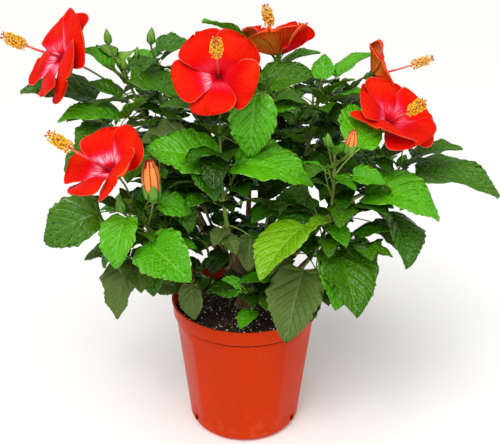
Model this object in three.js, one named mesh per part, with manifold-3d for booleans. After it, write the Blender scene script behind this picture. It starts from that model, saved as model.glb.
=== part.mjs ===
// A hibiscus shrub in its plastic nursery pot: pot, soil, a short trunk, boughs, masses of
// leafy shoots with buds, and six open blooms on their flower twigs.
// Millimetres, +Z up, origin in the middle of the pot's flat underside. -Y is the show side.

import * as THREE from "three";
import Module from "manifold-3d";

const wasm = await Module();
wasm.setup();

// Pot and soil
const POT_HEIGHT = 241;
const RIM_RADIUS = 127;
const RIM_BAND = 25;
const LIP = 4;
const WALL = 2.6;
const WALL_TOP_RADIUS = 121;
const WALL_FOOT_RADIUS = 99.5;
const BAND_FOOT = POT_HEIGHT - RIM_BAND;
const CORNER = 13;
const POT_SIDES = 40;
const DRAIN_SLOTS = 3;
const SLOT_WIDTH = 12;
const SLOT_HEIGHT = 19;
const SOIL_TOP = 222;
const SOIL_EDGE = 215;
const SOIL_FLAT = 42;
const GAP = 0.3;

// Trunk and boughs
const TRUNK_TOP = 302;
const TRUNK_LEAN = [5, -4];
const TRUNK_RADII = [21, 14.5, 12.5, 11.5, 10.5];
const TRUNK_STEPS = [0, 0.12, 0.35, 0.7, 1];
const TRUNK_SIDES = 10;
const BOUGH_RADII = [7.2, 4.2];
const BOUGH_SIDES = 6;
const BOUGH_STEPS = 5;

// Green shoots, petioles and leaves
const SHOOT_RADII = [3.9, 2.6];
const SHOOT_SIDES = 4;
const SHOOT_STEPS = 4;
const FORK_RADII = [3, 2.3];
const LEADER_STRAIGHT = 0.4;
const PETIOLE_RADII = [1.1, 1.2];
const PETIOLE_STEPS = 1;
const PETIOLE_ARCH = 0.12;
const LEAF_LONG = 112;
const LEAF_WIDE = 0.78;
const LEAF_THICK = 1.7;
const LEAF_ROWS = [0, 0.22, 0.62, 1];
const LEAF_LOBE = 0.1;
const LEAF_FOLD = 14;
const GOLDEN_TURN = 137.5;
const CLEARANCE = 0.8;
// How a leaf that would touch something is turned, tipped and shortened before it is left out.
const NUDGES = [
  [0, 0, 1], [0, -7, 1], [0, 7, 1], [10, 0, 1], [-10, 0, 1], [20, -5, 0.95], [-20, -5, 0.95],
  [0, -18, 0.92], [0, 16, 0.92], [40, -8, 0.85], [-40, -8, 0.85], [65, 0, 0.75], [-65, 0, 0.75],
];

// Blooms and buds. The profiles are [radius, distance] pairs, a bud's in shares of its length.
const PETALS = 5;
const PETAL_LONG = 70;
const PETAL_WIDE = 1.1;
const PETAL_ROWS = [0, 0.35, 0.7, 0.9, 1];
const PETAL_THICK = 1.5;
const PETAL_ROLL = 12;
const PETAL_FOLD = -6;
const CLAW_FAR = 16;
const CLAW_OUT = 2.5;
const CALYX_PROFILE = [[1.5, 0], [5, 3], [6, 10], [7, 20], [4, 21]];
const CALYX_SIDES = 6;
const PEDICEL_RADIUS = 1.5;
const PEDICEL_STRAIGHT = 0.45;
const PEDICEL_SIDES = 4;
const PEDICEL_STEPS = 3;
const COLUMN_SAG = 5;
const COLUMN_RADII = [2.2, 1.4];
const COLUMN_STEPS = 8;
const COLUMN_SIDES = 5;
const BRUSH_SHARE = 0.27;
const BRUSH_RADIUS = 8;
const BUD_PROFILE = [[0.08, 0], [0.26, 0.2], [0.24, 0.6], [0.04, 1]];
const BUD_SIDES = 5;
const BUD_STALK_STRAIGHT = 12;

const FOLIAGE_GREENS = [0x3f8f2a, 0x2f7a2c, 0x4a9a33];

const DEG = Math.PI / 180;
const UP = new THREE.Vector3(0, 0, 1);

const at = ([x, y, z]) => new THREE.Vector3(x, y, z);
const mix = (a, b, share) => a + (b - a) * share;
const along = (a, b, share) => a.clone().lerp(b, share);
const levelWay = (degrees) => new THREE.Vector3(Math.cos(degrees * DEG), Math.sin(degrees * DEG), 0);

// The same row of numbers between 0 and 1 for the same seed.
function seededNumbers(seed) {
  let state = seed;
  return () => {
    state = (state * 1664525 + 1013904223) % 4294967296;
    return state / 4294967296;
  };
}

// Each bough leaves the trunk's middle at height foot and tapers to its tip.
const BOUGHS = [
  { name: "bough_left", foot: 250, tip: [-104, -66, 342] },
  { name: "bough_right", foot: 246, tip: [100, -62, 338] },
  { name: "bough_far_right", foot: 262, tip: [124, 6, 368] },
  { name: "bough_back_left", foot: 256, tip: [-92, 112, 366] },
  { name: "bough_back_right", foot: 250, tip: [88, 126, 366] },
  { name: "bough_upper_left", foot: 282, tip: [-96, 22, 400] },
  { name: "bough_front", foot: 276, tip: [-28, -68, 398] },
  { name: "bough_upper_right", foot: 284, tip: [80, 48, 404] },
  { name: "bough_back", foot: 290, tip: [6, 72, 420] },
];

// Each mass of foliage grows from one bough, or from the trunk's side at foot. Its first shoot
// is the leader and the others fork from it, at the share of its length that from gives. By
// rule a shoot has so many leaves of its size, wound round it from turn. A row of show is one
// of the leaves that face the show side: its share of the shoot, the heading, reach and lift
// of its petiole, then the blade's swivel from that heading, length, rise, arch and roll.
const MASSES = [
  { name: "foliage_left", bough: "bough_left", seed: 5, shoots: [
    { tip: [-172, -112, 452], leaves: 3, turn: 70, size: 0.9, show: [
      [0.86, -174, 55, 7, 21, 109, -17, 55, -41],
      [0.86, -104, 42, 14, -8, 80, -29, 68, 1],
      [0.86, -32, 40, 30, 27, 56, -13, 41, 38],
    ] },
    { from: 0.3, tip: [-148, -128, 428], leaves: 2, turn: 20, size: 0.7, show: [
      [0.74, -86, 34, 0, 26, 104, 0, 35, 35],
    ] },
    { from: 0.05, tip: [-188, -58, 334], leaves: 4, turn: 150, size: 0.8, show: [
      [0.98, -77, 13, 10, -46, 99, -41, 32, 10],
      [0.7, -101, 30, 10, 25, 78, 8, 40, 0],
      [0.88, -37, 27, -24, 26, 63, -19, 32, 34],
    ] },
    { from: 0.45, tip: [-130, -56, 520], leaves: 3, turn: 150, size: 0.8, show: [
      [0.96, -156, 31, 0, 55, 62, 0, 40, 0],
    ] },
  ] },
  { name: "foliage_upper_left", bough: "bough_upper_left", seed: 9, shoots: [
    { tip: [-190, 20, 622], leaves: 4, turn: 60, size: 0.8, show: [
      [0.7, -146, 49, 10, -22, 95, 25, 54, -11],
      [0.96, 162, 27, 15, 8, 59, 54, 47, -8],
      [0.92, -122, 14, 7, -30, 46, 63, 40, -8],
      [0.88, -121, 29, -2, -60, 58, 41, 36, -15],
      [0.96, -74, 44, 11, 74, 101, -7, 36, 18],
      [0.98, 41, 59, 38, -40, 59, 17, 38, 30],
      [0.98, 55, 29, 13, -32, 51, 37, 45, 14],
    ] },
    { from: 0.45, tip: [-138, 52, 632], leaves: 3, turn: 10, size: 0.8, show: [
      [0.34, -57, 72, 8, -119, 70, 10, 49, -33],
    ] },
    { from: 0.3, tip: [-222, 62, 520], leaves: 4, turn: 100, size: 0.9, show: [
      [0.98, -97, 64, 25, -21, 65, -3, 37, -2],
      [0.72, -136, 62, -1, -9, 67, -24, 46, -39],
      [0.96, -140, 30, 57, -37, 119, 21, 30, -12],
      [0.9, -55, 60, 42, 35, 58, 62, 45, 0],
      [0.88, -14, 33, 39, 6, 86, 21, 50, -10],
    ] },
  ] },
  { name: "foliage_front", bough: "bough_front", seed: 13, shoots: [
    { tip: [-38, -76, 590], leaves: 4, turn: 30, size: 0.9, show: [
      [0.06, -111, 19, -1, 0, 36, -17, 20, 0],
      [0.04, -92, 22, -9, 29, 40, -18, 20, 0],
      [0.04, 15, 38, -24, -110, 58, -44, 20, 0],
    ] },
    { from: 0.3, tip: [-92, -92, 512], leaves: 2, turn: 200, size: 0.8, show: [
      [0.22, -49, 4, 55, -140, 108, 26, 31, -34],
      [0.66, -23, 62, 33, 12, 122, 12, 54, 18],
    ] },
    { from: 0.35, tip: [26, -66, 612], leaves: 3, turn: 100, size: 0.8, show: [
      [0.26, -116, 38, 37, -102, 84, 22, 60, 8],
      [0.64, 158, 55, 16, 73, 62, 47, 40, 0],
      [0.54, 156, 53, 17, 80, 56, 54, 50, 0],
      [0.98, -107, 39, 10, 10, 92, -68, 46, -5],
    ] },
  ] },
  { name: "foliage_right", bough: "bough_right", seed: 17, shoots: [
    { tip: [128, -106, 532], leaves: 3, turn: 80, size: 0.9, show: [
      [0.86, 2, 35, 42, 96, 93, 40, 23, 14],
      [0.86, -76, 45, 16, -139, 85, 40, 19, -17],
      [0.86, -36, 31, 7, 26, 50, 9, 48, 28],
      [0.32, 133, 29, 63, 103, 74, -41, 61, -54],
      [0.54, -134, 58, 3, 1, 122, -6, 35, 12],
      [0.56, -95, 22, -1, -44, 46, 20, 40, 0],
      [0.5, 12, 57, 39, -28, 131, 24, 85, 17],
      [0.3, 21, 45, 24, -49, 84, 57, 60, 0],
      [0.46, -76, 17, 5, 12, 50, 0, 40, 0],
      [0.08, -109, 52, 1, -4, 117, -40, 30, 0],
      [0.04, -65, 29, -17, -15, 66, -4, 30, 0],
      [0.1, -141, 36, 5, 10, 56, -13, 30, 0],
      [0.22, -92, 7, 17, -27, 50, 5, 30, 0],
    ] },
    { from: 0.08, tip: [196, -76, 352], leaves: 3, turn: 300, size: 0.9, show: [
      [0.12, -41, 35, 22, -36, 122, -14, 35, -6],
      [0.44, 34, 51, 13, -92, 83, -34, 25, -7],
      [0.1, -92, 51, -51, -27, 74, -17, 30, 0],
    ] },
  ] },
  { name: "foliage_far_right", bough: "bough_far_right", seed: 21, shoots: [
    { tip: [214, -22, 500], leaves: 2, turn: 200, size: 0.8, show: [
      [0.14, -12, 76, 0, -35, 64, -11, 40, 0],
    ] },
    { from: 0.35, tip: [256, 28, 462], leaves: 3, turn: 20, size: 1, show: [
      [0.38, -49, 50, -18, -18, 118, -3, 54, -24],
      [0.88, -62, 41, 42, 52, 80, 31, 36, 4],
      [0.98, -109, 50, 58, -26, 60, 19, 50, 0],
      [0.74, -29, 49, 19, 6, 138, 16, 49, 8],
    ] },
  ] },
  { name: "foliage_upper_right", bough: "bough_upper_right", seed: 25, shoots: [
    { tip: [120, 42, 612], leaves: 5, turn: 250, size: 0.7, show: [
      [0.86, -81, 18, 35, 161, 50, 28, -25, 0],
      [0.86, -7, 27, 35, 21, 74, 44, 30, 0],
      [0.86, -59, 21, 5, 22, 62, 61, 50, 0],
      [0.86, -51, 36, 4, 17, 66, 41, 40, 0],
      [0.84, -81, 29, 3, -59, 40, 68, 40, 0],
      [0.64, -105, 36, 0, -20, 68, 32, 50, 10],
      [0.74, -70, 34, 0, 115, 42, 23, 40, 0],
      [0.68, -153, 29, 2, -63, 62, 44, 40, 0],
      [0.54, -133, 35, 5, -4, 62, 44, 40, 0],
    ] },
    { from: 0.4, tip: [166, 56, 578], leaves: 3, turn: 80, size: 0.7, show: [] },
  ] },
  { name: "foliage_back", bough: "bough_back", seed: 29, shoots: [
    { tip: [40, 72, 598], leaves: 5, turn: 120, size: 0.9, show: [] },
    { from: 0.3, tip: [-40, 56, 650], leaves: 5, turn: 200, size: 0.9, show: [
      [0.92, -58, 45, 42, -86, 74, 45, 40, 0],
      [0.62, -35, 59, 34, 50, 87, 30, 38, 30],
    ] },
    { from: 0.2, tip: [26, 162, 560], leaves: 7, turn: 60, size: 1, show: [
      [0.98, -57, 68, 63, 57, 64, 35, 37, 5],
    ] },
  ] },
  { name: "foliage_back_left", bough: "bough_back_left", seed: 33, shoots: [
    { tip: [-132, 190, 560], leaves: 7, turn: 100, size: 1, show: [] },
    { from: 0.25, tip: [-212, 142, 470], leaves: 6, turn: 170, size: 1, show: [] },
    { from: 0.1, tip: [-120, 206, 400], leaves: 5, turn: 120, size: 0.9, show: [] },
  ] },
  { name: "foliage_back_right", bough: "bough_back_right", seed: 37, shoots: [
    { tip: [124, 208, 552], leaves: 7, turn: 40, size: 1, show: [] },
    { from: 0.25, tip: [214, 142, 484], leaves: 6, turn: 10, size: 1, show: [] },
    { from: 0.1, tip: [110, 216, 396], leaves: 5, turn: 60, size: 0.9, show: [] },
  ] },
  { name: "foliage_inner_left", foot: [-3, -1, 284], seed: 49, shoots: [
    { tip: [-72, -8, 424], leaves: 5, turn: 200, size: 0.85, show: [] },
    { from: 0.35, tip: [-34, -40, 384], leaves: 3, turn: 300, size: 0.55, show: [] },
  ] },
  { name: "foliage_inner_right", foot: [4, -6, 278], seed: 53, shoots: [
    { tip: [38, -52, 428], leaves: 5, turn: 280, size: 0.85, show: [] },
    { from: 0.35, tip: [70, -20, 400], leaves: 4, turn: 330, size: 0.6, show: [] },
  ] },
  { name: "foliage_low_front", foot: [4, -12, 254], seed: 41, shoots: [
    { tip: [10, -92, 292], leaves: 4, turn: 240, size: 0.45, show: [
      [0.72, 165, 16, 22, 8, 51, -8, 32, -52],
      [0.58, -81, 24, -14, -36, 44, -4, 20, 0],
    ] },
    { from: 0.5, tip: [56, -92, 322], leaves: 2, turn: 300, size: 0.7, show: [
      [0.62, 176, 18, -9, 34, 56, 3, 20, 0],
      [0.38, 2, 14, 12, -52, 38, -16, 20, 0],
      [0.1, -53, 25, -3, 35, 44, -12, 20, 0],
    ] },
    { from: 0.35, tip: [-74, -66, 316], leaves: 3, turn: 220, size: 0.45, show: [
      [0.98, -144, 17, -12, 31, 62, -69, 24, 11],
      [0.42, 1, 6, 3, -158, 49, -31, 24, -28],
    ] },
  ] },
  { name: "foliage_low_back", foot: [-4, 12, 258], seed: 45, shoots: [
    { tip: [-14, 96, 306], leaves: 4, turn: 90, size: 0.55, show: [] },
    { from: 0.4, tip: [54, 88, 316], leaves: 3, turn: 60, size: 0.55, show: [] },
  ] },
];

// Each bloom ends a flower twig from a shoot of its mass, at a share of its length. calyx is
// where the flower's green cup begins, facing the way it looks, turn the first petal's place,
// open how far the petals lie back from facing, at their claws and at their ends, and tip the
// end of its column.
const BLOOMS = [
  { name: "bloom_far_left", mass: "foliage_upper_left", shoot: 0, share: 0.8,
    calyx: [-263, 6, 640], facing: [-0.74, -0.47, 0.48], turn: 50, open: [48, 114], size: 0.98,
    tip: [-346, -42, 685] },
  { name: "bloom_left", mass: "foliage_left", shoot: 0, share: 0.93,
    calyx: [-182, -122, 500], facing: [-0.48, -0.38, 0.79], turn: -5, open: [40, 90], size: 0.98,
    tip: [-266, -152, 571] },
  { name: "bloom_front", mass: "foliage_front", shoot: 0, share: 0.93,
    calyx: [-36, -82, 635], facing: [-0.15, -0.87, 0.47], turn: 57, open: [44, 92], size: 0.93,
    tip: [-39, -166, 701] },
  { name: "bloom_top", mass: "foliage_back", shoot: 0, share: 0.93,
    calyx: [51, 66, 626], facing: [-0.1, 0.13, 1], turn: 50, open: [30, 66], size: 0.97,
    tip: [31, 82, 712] },
  { name: "bloom_upper_right", mass: "foliage_upper_right", shoot: 1, share: 0.94,
    calyx: [189, 54, 609], facing: [0.93, -0.12, 0.32], turn: 10, open: [30, 100], size: 0.82,
    tip: [287, 36, 643] },
  { name: "bloom_right", mass: "foliage_far_right", shoot: 0, share: 0.93,
    calyx: [210, -36, 549], facing: [0.37, -0.42, 0.83], turn: -12, open: [42, 92], size: 0.96,
    tip: [244, -115, 610] },
];

// Each bud is so long and leans its way. Its stalk comes from a share of a shoot to its base.
const BUDS = [
  { mass: "foliage_upper_left", shoot: 0, share: 0.97,
    base: [-209, 12, 666], lean: [-0.1, 0, 1], long: 24 },
  { mass: "foliage_upper_left", shoot: 1, share: 0.97,
    base: [-147, 24, 664], lean: [0.1, 0, 1], long: 27 },
  { mass: "foliage_upper_left", shoot: 0, share: 0.93,
    base: [-166, 2, 648], lean: [0.1, -0.1, 1], long: 18 },
  { mass: "foliage_upper_left", shoot: 0, share: 0.9,
    base: [-184, -4, 631], lean: [-0.1, -0.2, 1], long: 20 },
  { mass: "foliage_left", shoot: 1, share: 0.95,
    base: [-131, -150, 474], lean: [-0.05, 0, 1], long: 62 },
  { mass: "foliage_left", shoot: 0, share: 0.86,
    base: [-178, -142, 454], lean: [-0.1, -0.2, 1], long: 28 },
  { mass: "foliage_right", shoot: 0, share: 0.97,
    base: [143, -140, 542], lean: [0.15, -0.1, 1], long: 38 },
  { mass: "foliage_right", shoot: 0, share: 0.9,
    base: [117, -122, 548], lean: [-0.1, -0.1, 1], long: 22 },
];

function meshOf(name, solid, material) {
  const { numProp, vertProperties, triVerts } = solid.getMesh();
  const geometry = new THREE.BufferGeometry();
  geometry.setAttribute("position", new THREE.BufferAttribute(vertProperties, numProp));
  geometry.setIndex(new THREE.BufferAttribute(triVerts, 1));
  const flat = geometry.toNonIndexed();
  flat.computeVertexNormals();
  const mesh = new THREE.Mesh(flat, material);
  mesh.name = name;
  return mesh;
}

// The solid between rings of corners, each ring turning left as seen from the far end. A ring
// whose corners are all one point closes to a tip there. The faces are halved to the left and
// to the right in turn, so that a blade's upper and under faces fold along the same lines.
function loft(rings) {
  const sides = rings[0].length;
  const corners = [...new Set(rings.flat())];
  const rows = rings.map((corner) => corner.map((point) => corners.indexOf(point)));
  const faces = [];
  const face = (a, b, c) => {
    if (a !== b && b !== c && c !== a) faces.push(a, b, c);
  };
  for (let row = 0; row + 1 < rows.length; row++) {
    for (let j = 0; j < sides; j++) {
      const k = (j + 1) % sides;
      const [a, b, c, d] = [rows[row][j], rows[row][k], rows[row + 1][k], rows[row + 1][j]];
      face(a, b, j % 2 ? d : c);
      face(j % 2 ? b : a, c, d);
    }
  }
  const [first, last] = [rows[0], rows.at(-1)];
  for (let j = 1; j + 1 < sides; j++) {
    face(first[0], first[j + 1], first[j]);
    face(last[0], last[j], last[j + 1]);
  }
  return new wasm.Manifold(new wasm.Mesh({
    numProp: 3,
    vertProperties: new Float32Array(corners.flatMap((p) => [p.x, p.y, p.z])),
    triVerts: new Uint32Array(faces),
  }));
}

function ring(middle, [first, second], radius, sides) {
  return Array.from({ length: sides }, (_, j) => {
    const turn = (2 * Math.PI * j) / sides;
    return middle.clone()
      .addScaledVector(first, radius * Math.cos(turn))
      .addScaledVector(second, radius * Math.sin(turn));
  });
}

// A level direction square to the way.
function levelAcross(way) {
  const level = new THREE.Vector3().crossVectors(UP, way);
  if (level.length() < 1e-3) level.set(1, 0, 0);
  return level.normalize();
}

// A round limb along a curve, whose radius follows radiusAt from foot to tip. Its rings turn
// as little as they can from one to the next, and it reaches over the curve's ends by extra.
function limb(curve, radiusAt, steps, sides, extra = 0) {
  const rings = [];
  const first = levelAcross(curve.getTangent(0));
  for (let i = 0; i <= steps; i++) {
    const share = i / steps;
    const way = curve.getTangent(share);
    first.addScaledVector(way, -first.dot(way)).normalize();
    const second = new THREE.Vector3().crossVectors(way, first);
    const over = i === 0 ? -extra : i === steps ? extra : 0;
    const middle = curve.getPoint(share).addScaledVector(way, over);
    rings.push(ring(middle, [first, second], radiusAt(share), sides));
  }
  return loft(rings);
}

const taper = ([foot, tip], extra = 0) => (share) => mix(foot, tip, share) + extra;

// A limb's curve: it swings outward first and then climbs.
function swing(foot, tip, out = 0.6, climb = 0.3) {
  const bend = along(foot, tip, out);
  bend.z = mix(foot.z, tip.z, climb);
  return new THREE.QuadraticBezierCurve3(foot, bend, tip);
}

// A round solid on an axis out from a point, from [radius, distance] pairs.
function turned(from, way, profile, sides) {
  const first = levelAcross(way);
  const frame = [first, new THREE.Vector3().crossVectors(way, first)];
  const rings = profile.map(([radius, far]) => {
    return ring(from.clone().addScaledVector(way, far), frame, radius, sides);
  });
  return loft(rings);
}

// A blade is a leaf or a petal. It leaves its place along heading, at the angle rise towards
// up, and bends evenly to the angle droop at its tip. side is to the left of both.
function bladeFrame(blade, u) {
  const bend = blade.droop - blade.rise;
  const angle = blade.rise + bend * u;
  const run = (blade.long * (Math.sin(angle) - Math.sin(blade.rise))) / bend;
  const climb = (blade.long * (Math.cos(blade.rise) - Math.cos(angle))) / bend;
  const [cos, sin] = [Math.cos(angle), Math.sin(angle)];
  return {
    rib: blade.place.clone().addScaledVector(blade.heading, run).addScaledVector(blade.up, climb),
    forward: blade.heading.clone().multiplyScalar(cos).addScaledVector(blade.up, sin),
    normal: blade.up.clone().multiplyScalar(cos).addScaledVector(blade.heading, -sin),
  };
}

// The blade's point at u along its rib and v across it, from -1 to 1. Its halves fold up by
// fold, and the lobes beside the stalk reach back. spare makes the blade larger all round.
function bladePoint(blade, u, v, spare = 0) {
  const { rib, forward, normal } = bladeFrame(blade, u);
  const half = 0.5 * blade.wide * blade.outline(u) + spare;
  return rib
    .addScaledVector(blade.side, v * half * Math.cos(blade.fold))
    .addScaledVector(normal, Math.abs(v) * half * Math.sin(blade.fold))
    .addScaledVector(forward, -blade.lobe * blade.long * v * v * (1 - u) ** 2);
}

// A hibiscus leaf is widest a third of the way along and drawn out to a point.
const leafOutline = (u) => Math.max(0, Math.sin(Math.PI * u ** 0.68)) ** 0.85;

// A petal widens from its claw and is round at the end.
const petalOutline = (u) => 1.4 * u ** 0.7 * Math.sqrt(Math.max(0, 1 - u ** 5));

// The rings of a blade, thick at the rib and thin at the edges: left, rib, right and under.
function bladeRings(blade, spare = 0) {
  const [base, tip] = [bladeFrame(blade, 0), bladeFrame(blade, 1)];
  const point = ({ rib, forward }, far) => Array(4).fill(rib.addScaledVector(forward, far));
  const rings = blade.rows.slice(1, -1).map((u) => {
    const { rib, normal } = bladeFrame(blade, u);
    return [
      bladePoint(blade, u, 1, spare),
      rib.clone().addScaledVector(normal, spare),
      bladePoint(blade, u, -1, spare),
      rib.addScaledVector(normal, -blade.thick - spare),
    ];
  });
  return [point(base, -spare), ...rings, point(tip, spare)];
}

// The part of a solid that is left after the others are cut off it.
function trimmed(solid, others) {
  const rest = others.reduce((left, other) => left.subtract(other), solid);
  return rest.decompose().sort((a, b) => b.volume() - a.volume())[0];
}

// The pot's rounded bottom corner in section, as far inside the outer face as inset says.
function cornerLine(inset) {
  const radius = CORNER - inset;
  return [-Math.PI / 2, -Math.PI / 4, 0].map((turn) => {
    return [WALL_FOOT_RADIUS - CORNER + radius * Math.cos(turn), CORNER + radius * Math.sin(turn)];
  });
}

function potSolid() {
  const inside = [
    [RIM_RADIUS - LIP, POT_HEIGHT],
    [RIM_RADIUS - LIP - 1, BAND_FOOT + 3],
    [WALL_TOP_RADIUS - WALL, BAND_FOOT - 3],
    ...cornerLine(WALL).reverse(),
    [0, WALL],
  ];
  const outline = [
    [0, 0],
    ...cornerLine(0),
    [WALL_TOP_RADIUS, BAND_FOOT - 2],
    [RIM_RADIUS - 2.5, BAND_FOOT],
    [RIM_RADIUS - 1.5, POT_HEIGHT - LIP],
    [RIM_RADIUS, POT_HEIGHT - LIP + 0.6],
    [RIM_RADIUS, POT_HEIGHT],
    ...inside,
  ];
  let pot = wasm.Manifold.revolve([outline], POT_SIDES);
  for (let n = 0; n < DRAIN_SLOTS; n++) {
    const slot = wasm.Manifold.cube([2 * CORNER, SLOT_WIDTH, SLOT_HEIGHT], true)
      .translate([WALL_FOOT_RADIUS, 0, WALL + GAP + SLOT_HEIGHT / 2])
      .rotate([0, 0, 90 + (n * 360) / DRAIN_SLOTS]);
    pot = pot.subtract(slot);
  }
  return pot;
}

function soilSolid() {
  const outline = [
    [0, WALL + GAP],
    ...cornerLine(WALL + GAP),
    [WALL_TOP_RADIUS - WALL - GAP, BAND_FOOT - 3],
    [WALL_TOP_RADIUS - WALL - GAP, SOIL_EDGE],
    [SOIL_FLAT, SOIL_TOP],
    [0, SOIL_TOP],
  ];
  return wasm.Manifold.revolve([outline], POT_SIDES);
}

// What the leaves keep out of: the filled pot.
function filledPot() {
  const outline = [
    [0, 0],
    [WALL_FOOT_RADIUS, 0],
    [RIM_RADIUS, BAND_FOOT],
    [RIM_RADIUS, POT_HEIGHT],
    [RIM_RADIUS - LIP, POT_HEIGHT],
    [RIM_RADIUS - LIP, SOIL_EDGE],
    [SOIL_FLAT, SOIL_TOP],
    [0, SOIL_TOP],
  ];
  return wasm.Manifold.revolve([outline], POT_SIDES);
}

// The trunk stands on the soil, flares at its root and leans a little. Its rings are level.
function trunkSolid(extra = 0) {
  const foot = SOIL_TOP + GAP;
  const level = [new THREE.Vector3(1, 0, 0), new THREE.Vector3(0, 1, 0)];
  const rings = TRUNK_STEPS.map((share, n) => {
    const height = mix(foot, TRUNK_TOP + extra, share);
    const middle = new THREE.Vector3(TRUNK_LEAN[0] * share, TRUNK_LEAN[1] * share, height);
    return ring(middle, level, TRUNK_RADII[n] + extra, TRUNK_SIDES);
  });
  return loft(rings);
}

function trunkMiddle(height) {
  const share = (height - SOIL_TOP) / (TRUNK_TOP - SOIL_TOP);
  return new THREE.Vector3(TRUNK_LEAN[0] * share, TRUNK_LEAN[1] * share, height);
}

const boughCurve = ({ foot, tip }) => swing(trunkMiddle(foot), at(tip));
function boughSolid(bough, extra = 0) {
  return limb(boughCurve(bough), taper(BOUGH_RADII, extra), BOUGH_STEPS, BOUGH_SIDES, extra);
}

// The curves of a mass: its leader goes on from the bough's tip, or starts in the trunk, and
// its other shoots fork from the leader.
function shootCurves(mass) {
  const bough = BOUGHS.find(({ name }) => name === mass.bough);
  const curves = [];
  for (const { from, tip } of mass.shoots) {
    if (from !== undefined) {
      curves.push(swing(curves[0].getPoint(from), at(tip), 0.55, 0.35));
    } else if (bough) {
      const way = boughCurve(bough).getTangent(1);
      const foot = at(bough.tip).addScaledVector(way, GAP);
      const bend = foot.clone().addScaledVector(way, LEADER_STRAIGHT * foot.distanceTo(at(tip)));
      curves.push(new THREE.QuadraticBezierCurve3(foot, bend, at(tip)));
    } else {
      curves.push(swing(at(mass.foot), at(tip)));
    }
  }
  return curves;
}

function shootSolid(curve, n, extra = 0) {
  const radii = n === 0 ? SHOOT_RADII : FORK_RADII;
  return limb(curve, taper(radii, extra), SHOOT_STEPS, SHOOT_SIDES, extra);
}

// The leaf that a row of show places by hand.
function shownLeaf([share, heading, reach, lift, swivel, long, rise, arch, roll]) {
  return { share, heading, reach, lift, swivel, long, rise, droop: rise - arch, roll };
}

// A leaf on a shoot. Its petiole leaves the shoot at share, towards heading, and reaches out
// and lifts by so much to the blade, which swivels, rises, droops and rolls in degrees.
function leafOn(curve, leaf, [turn, tip, shrink]) {
  const { share, heading, reach, lift, swivel, long, rise, droop, roll } = leaf;
  const root = curve.getPoint(share);
  const place = root.clone()
    .addScaledVector(levelWay(heading + turn), reach * shrink)
    .addScaledVector(UP, lift * shrink);
  const way = levelWay(heading + turn + swivel);
  const left = new THREE.Vector3().crossVectors(UP, way);
  const [cos, sin] = [Math.cos(roll * DEG), Math.sin(roll * DEG)];
  const blade = {
    place,
    heading: way,
    side: left.clone().multiplyScalar(cos).addScaledVector(UP, sin),
    up: UP.clone().multiplyScalar(cos).addScaledVector(left, -sin),
    long: long * shrink,
    wide: long * shrink * LEAF_WIDE,
    rise: (rise + tip) * DEG,
    droop: (droop + tip) * DEG,
    fold: LEAF_FOLD * DEG,
    lobe: LEAF_LOBE,
    outline: leafOutline,
    rows: LEAF_ROWS,
    thick: LEAF_THICK,
  };
  const bend = along(root, place, 0.5).addScaledVector(UP, PETIOLE_ARCH * root.distanceTo(place));
  return { blade, petiole: new THREE.QuadraticBezierCurve3(root, bend, place) };
}

// The rings of a leaf's petiole, turned so that they meet the rings of its blade.
function petioleRings({ blade, petiole }, extra = 0) {
  const side = blade.side.clone();
  const rings = [];
  for (let i = PETIOLE_STEPS; i >= 0; i--) {
    const share = i / PETIOLE_STEPS;
    const way = petiole.getTangent(share);
    side.addScaledVector(way, -side.dot(way)).normalize();
    const over = new THREE.Vector3().crossVectors(way, side);
    rings.unshift(ring(petiole.getPoint(share), [side, over], mix(...PETIOLE_RADII, share) + extra, 4));
  }
  return rings;
}

// The leaves that a shoot grows by rule, wound round it by the golden angle.
function ruleLeaves(shoot, random) {
  return Array.from({ length: shoot.leaves }, (_, n) => {
    const [a, b, c, d, e, f, g, h] = Array.from({ length: 8 }, random);
    const share = mix(0.08, 0.98, (n + 0.25 + 0.5 * a) / shoot.leaves);
    const long = LEAF_LONG * shoot.size * mix(1.05, 0.62, share) * mix(0.85, 1.15, b);
    const reach = long * mix(0.24, 0.4, c);
    const rise = mix(-8, 22, d);
    return {
      share,
      heading: shoot.turn + GOLDEN_TURN * n + mix(-15, 15, e),
      reach,
      lift: reach * mix(0.3, 0.8, f),
      swivel: mix(-12, 12, g),
      long,
      rise,
      droop: rise - mix(50, 90, h),
      roll: mix(-14, 14, a),
    };
  });
}

function flowerStalk(root, bend, end) {
  const curve = new THREE.QuadraticBezierCurve3(root, bend, end);
  return limb(curve, () => PEDICEL_RADIUS, PEDICEL_STEPS, PEDICEL_SIDES);
}

const scaled = (profile, size) => profile.map(([radius, far]) => [radius * size, far * size]);

// A bud on its stalk, from where that leaves the shoot.
function budSolid(curve, { share, base, lean, long }) {
  const root = curve.getPoint(share);
  const foot = at(base);
  const way = at(lean).normalize();
  const bend = along(root, foot, 0.6).addScaledVector(way, -BUD_STALK_STRAIGHT);
  const stalk = flowerStalk(root, bend, foot.clone().addScaledVector(way, 1));
  return stalk.add(turned(foot, way, scaled(BUD_PROFILE, long), BUD_SIDES));
}

// A bloom's long column, which swells to its brush of anthers over the last part.
function columnSolid(throat, tip, size) {
  const sag = along(throat, tip, 0.5).addScaledVector(UP, -COLUMN_SAG * size);
  const brush = (u) => Math.sin((Math.PI * Math.max(0, u - 1 + BRUSH_SHARE)) / BRUSH_SHARE);
  const radiusAt = (u) => mix(...COLUMN_RADII, u) + BRUSH_RADIUS * size * Math.max(0, brush(u));
  return limb(new THREE.QuadraticBezierCurve3(throat, sag, tip), radiusAt, COLUMN_STEPS, COLUMN_SIDES);
}

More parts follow.
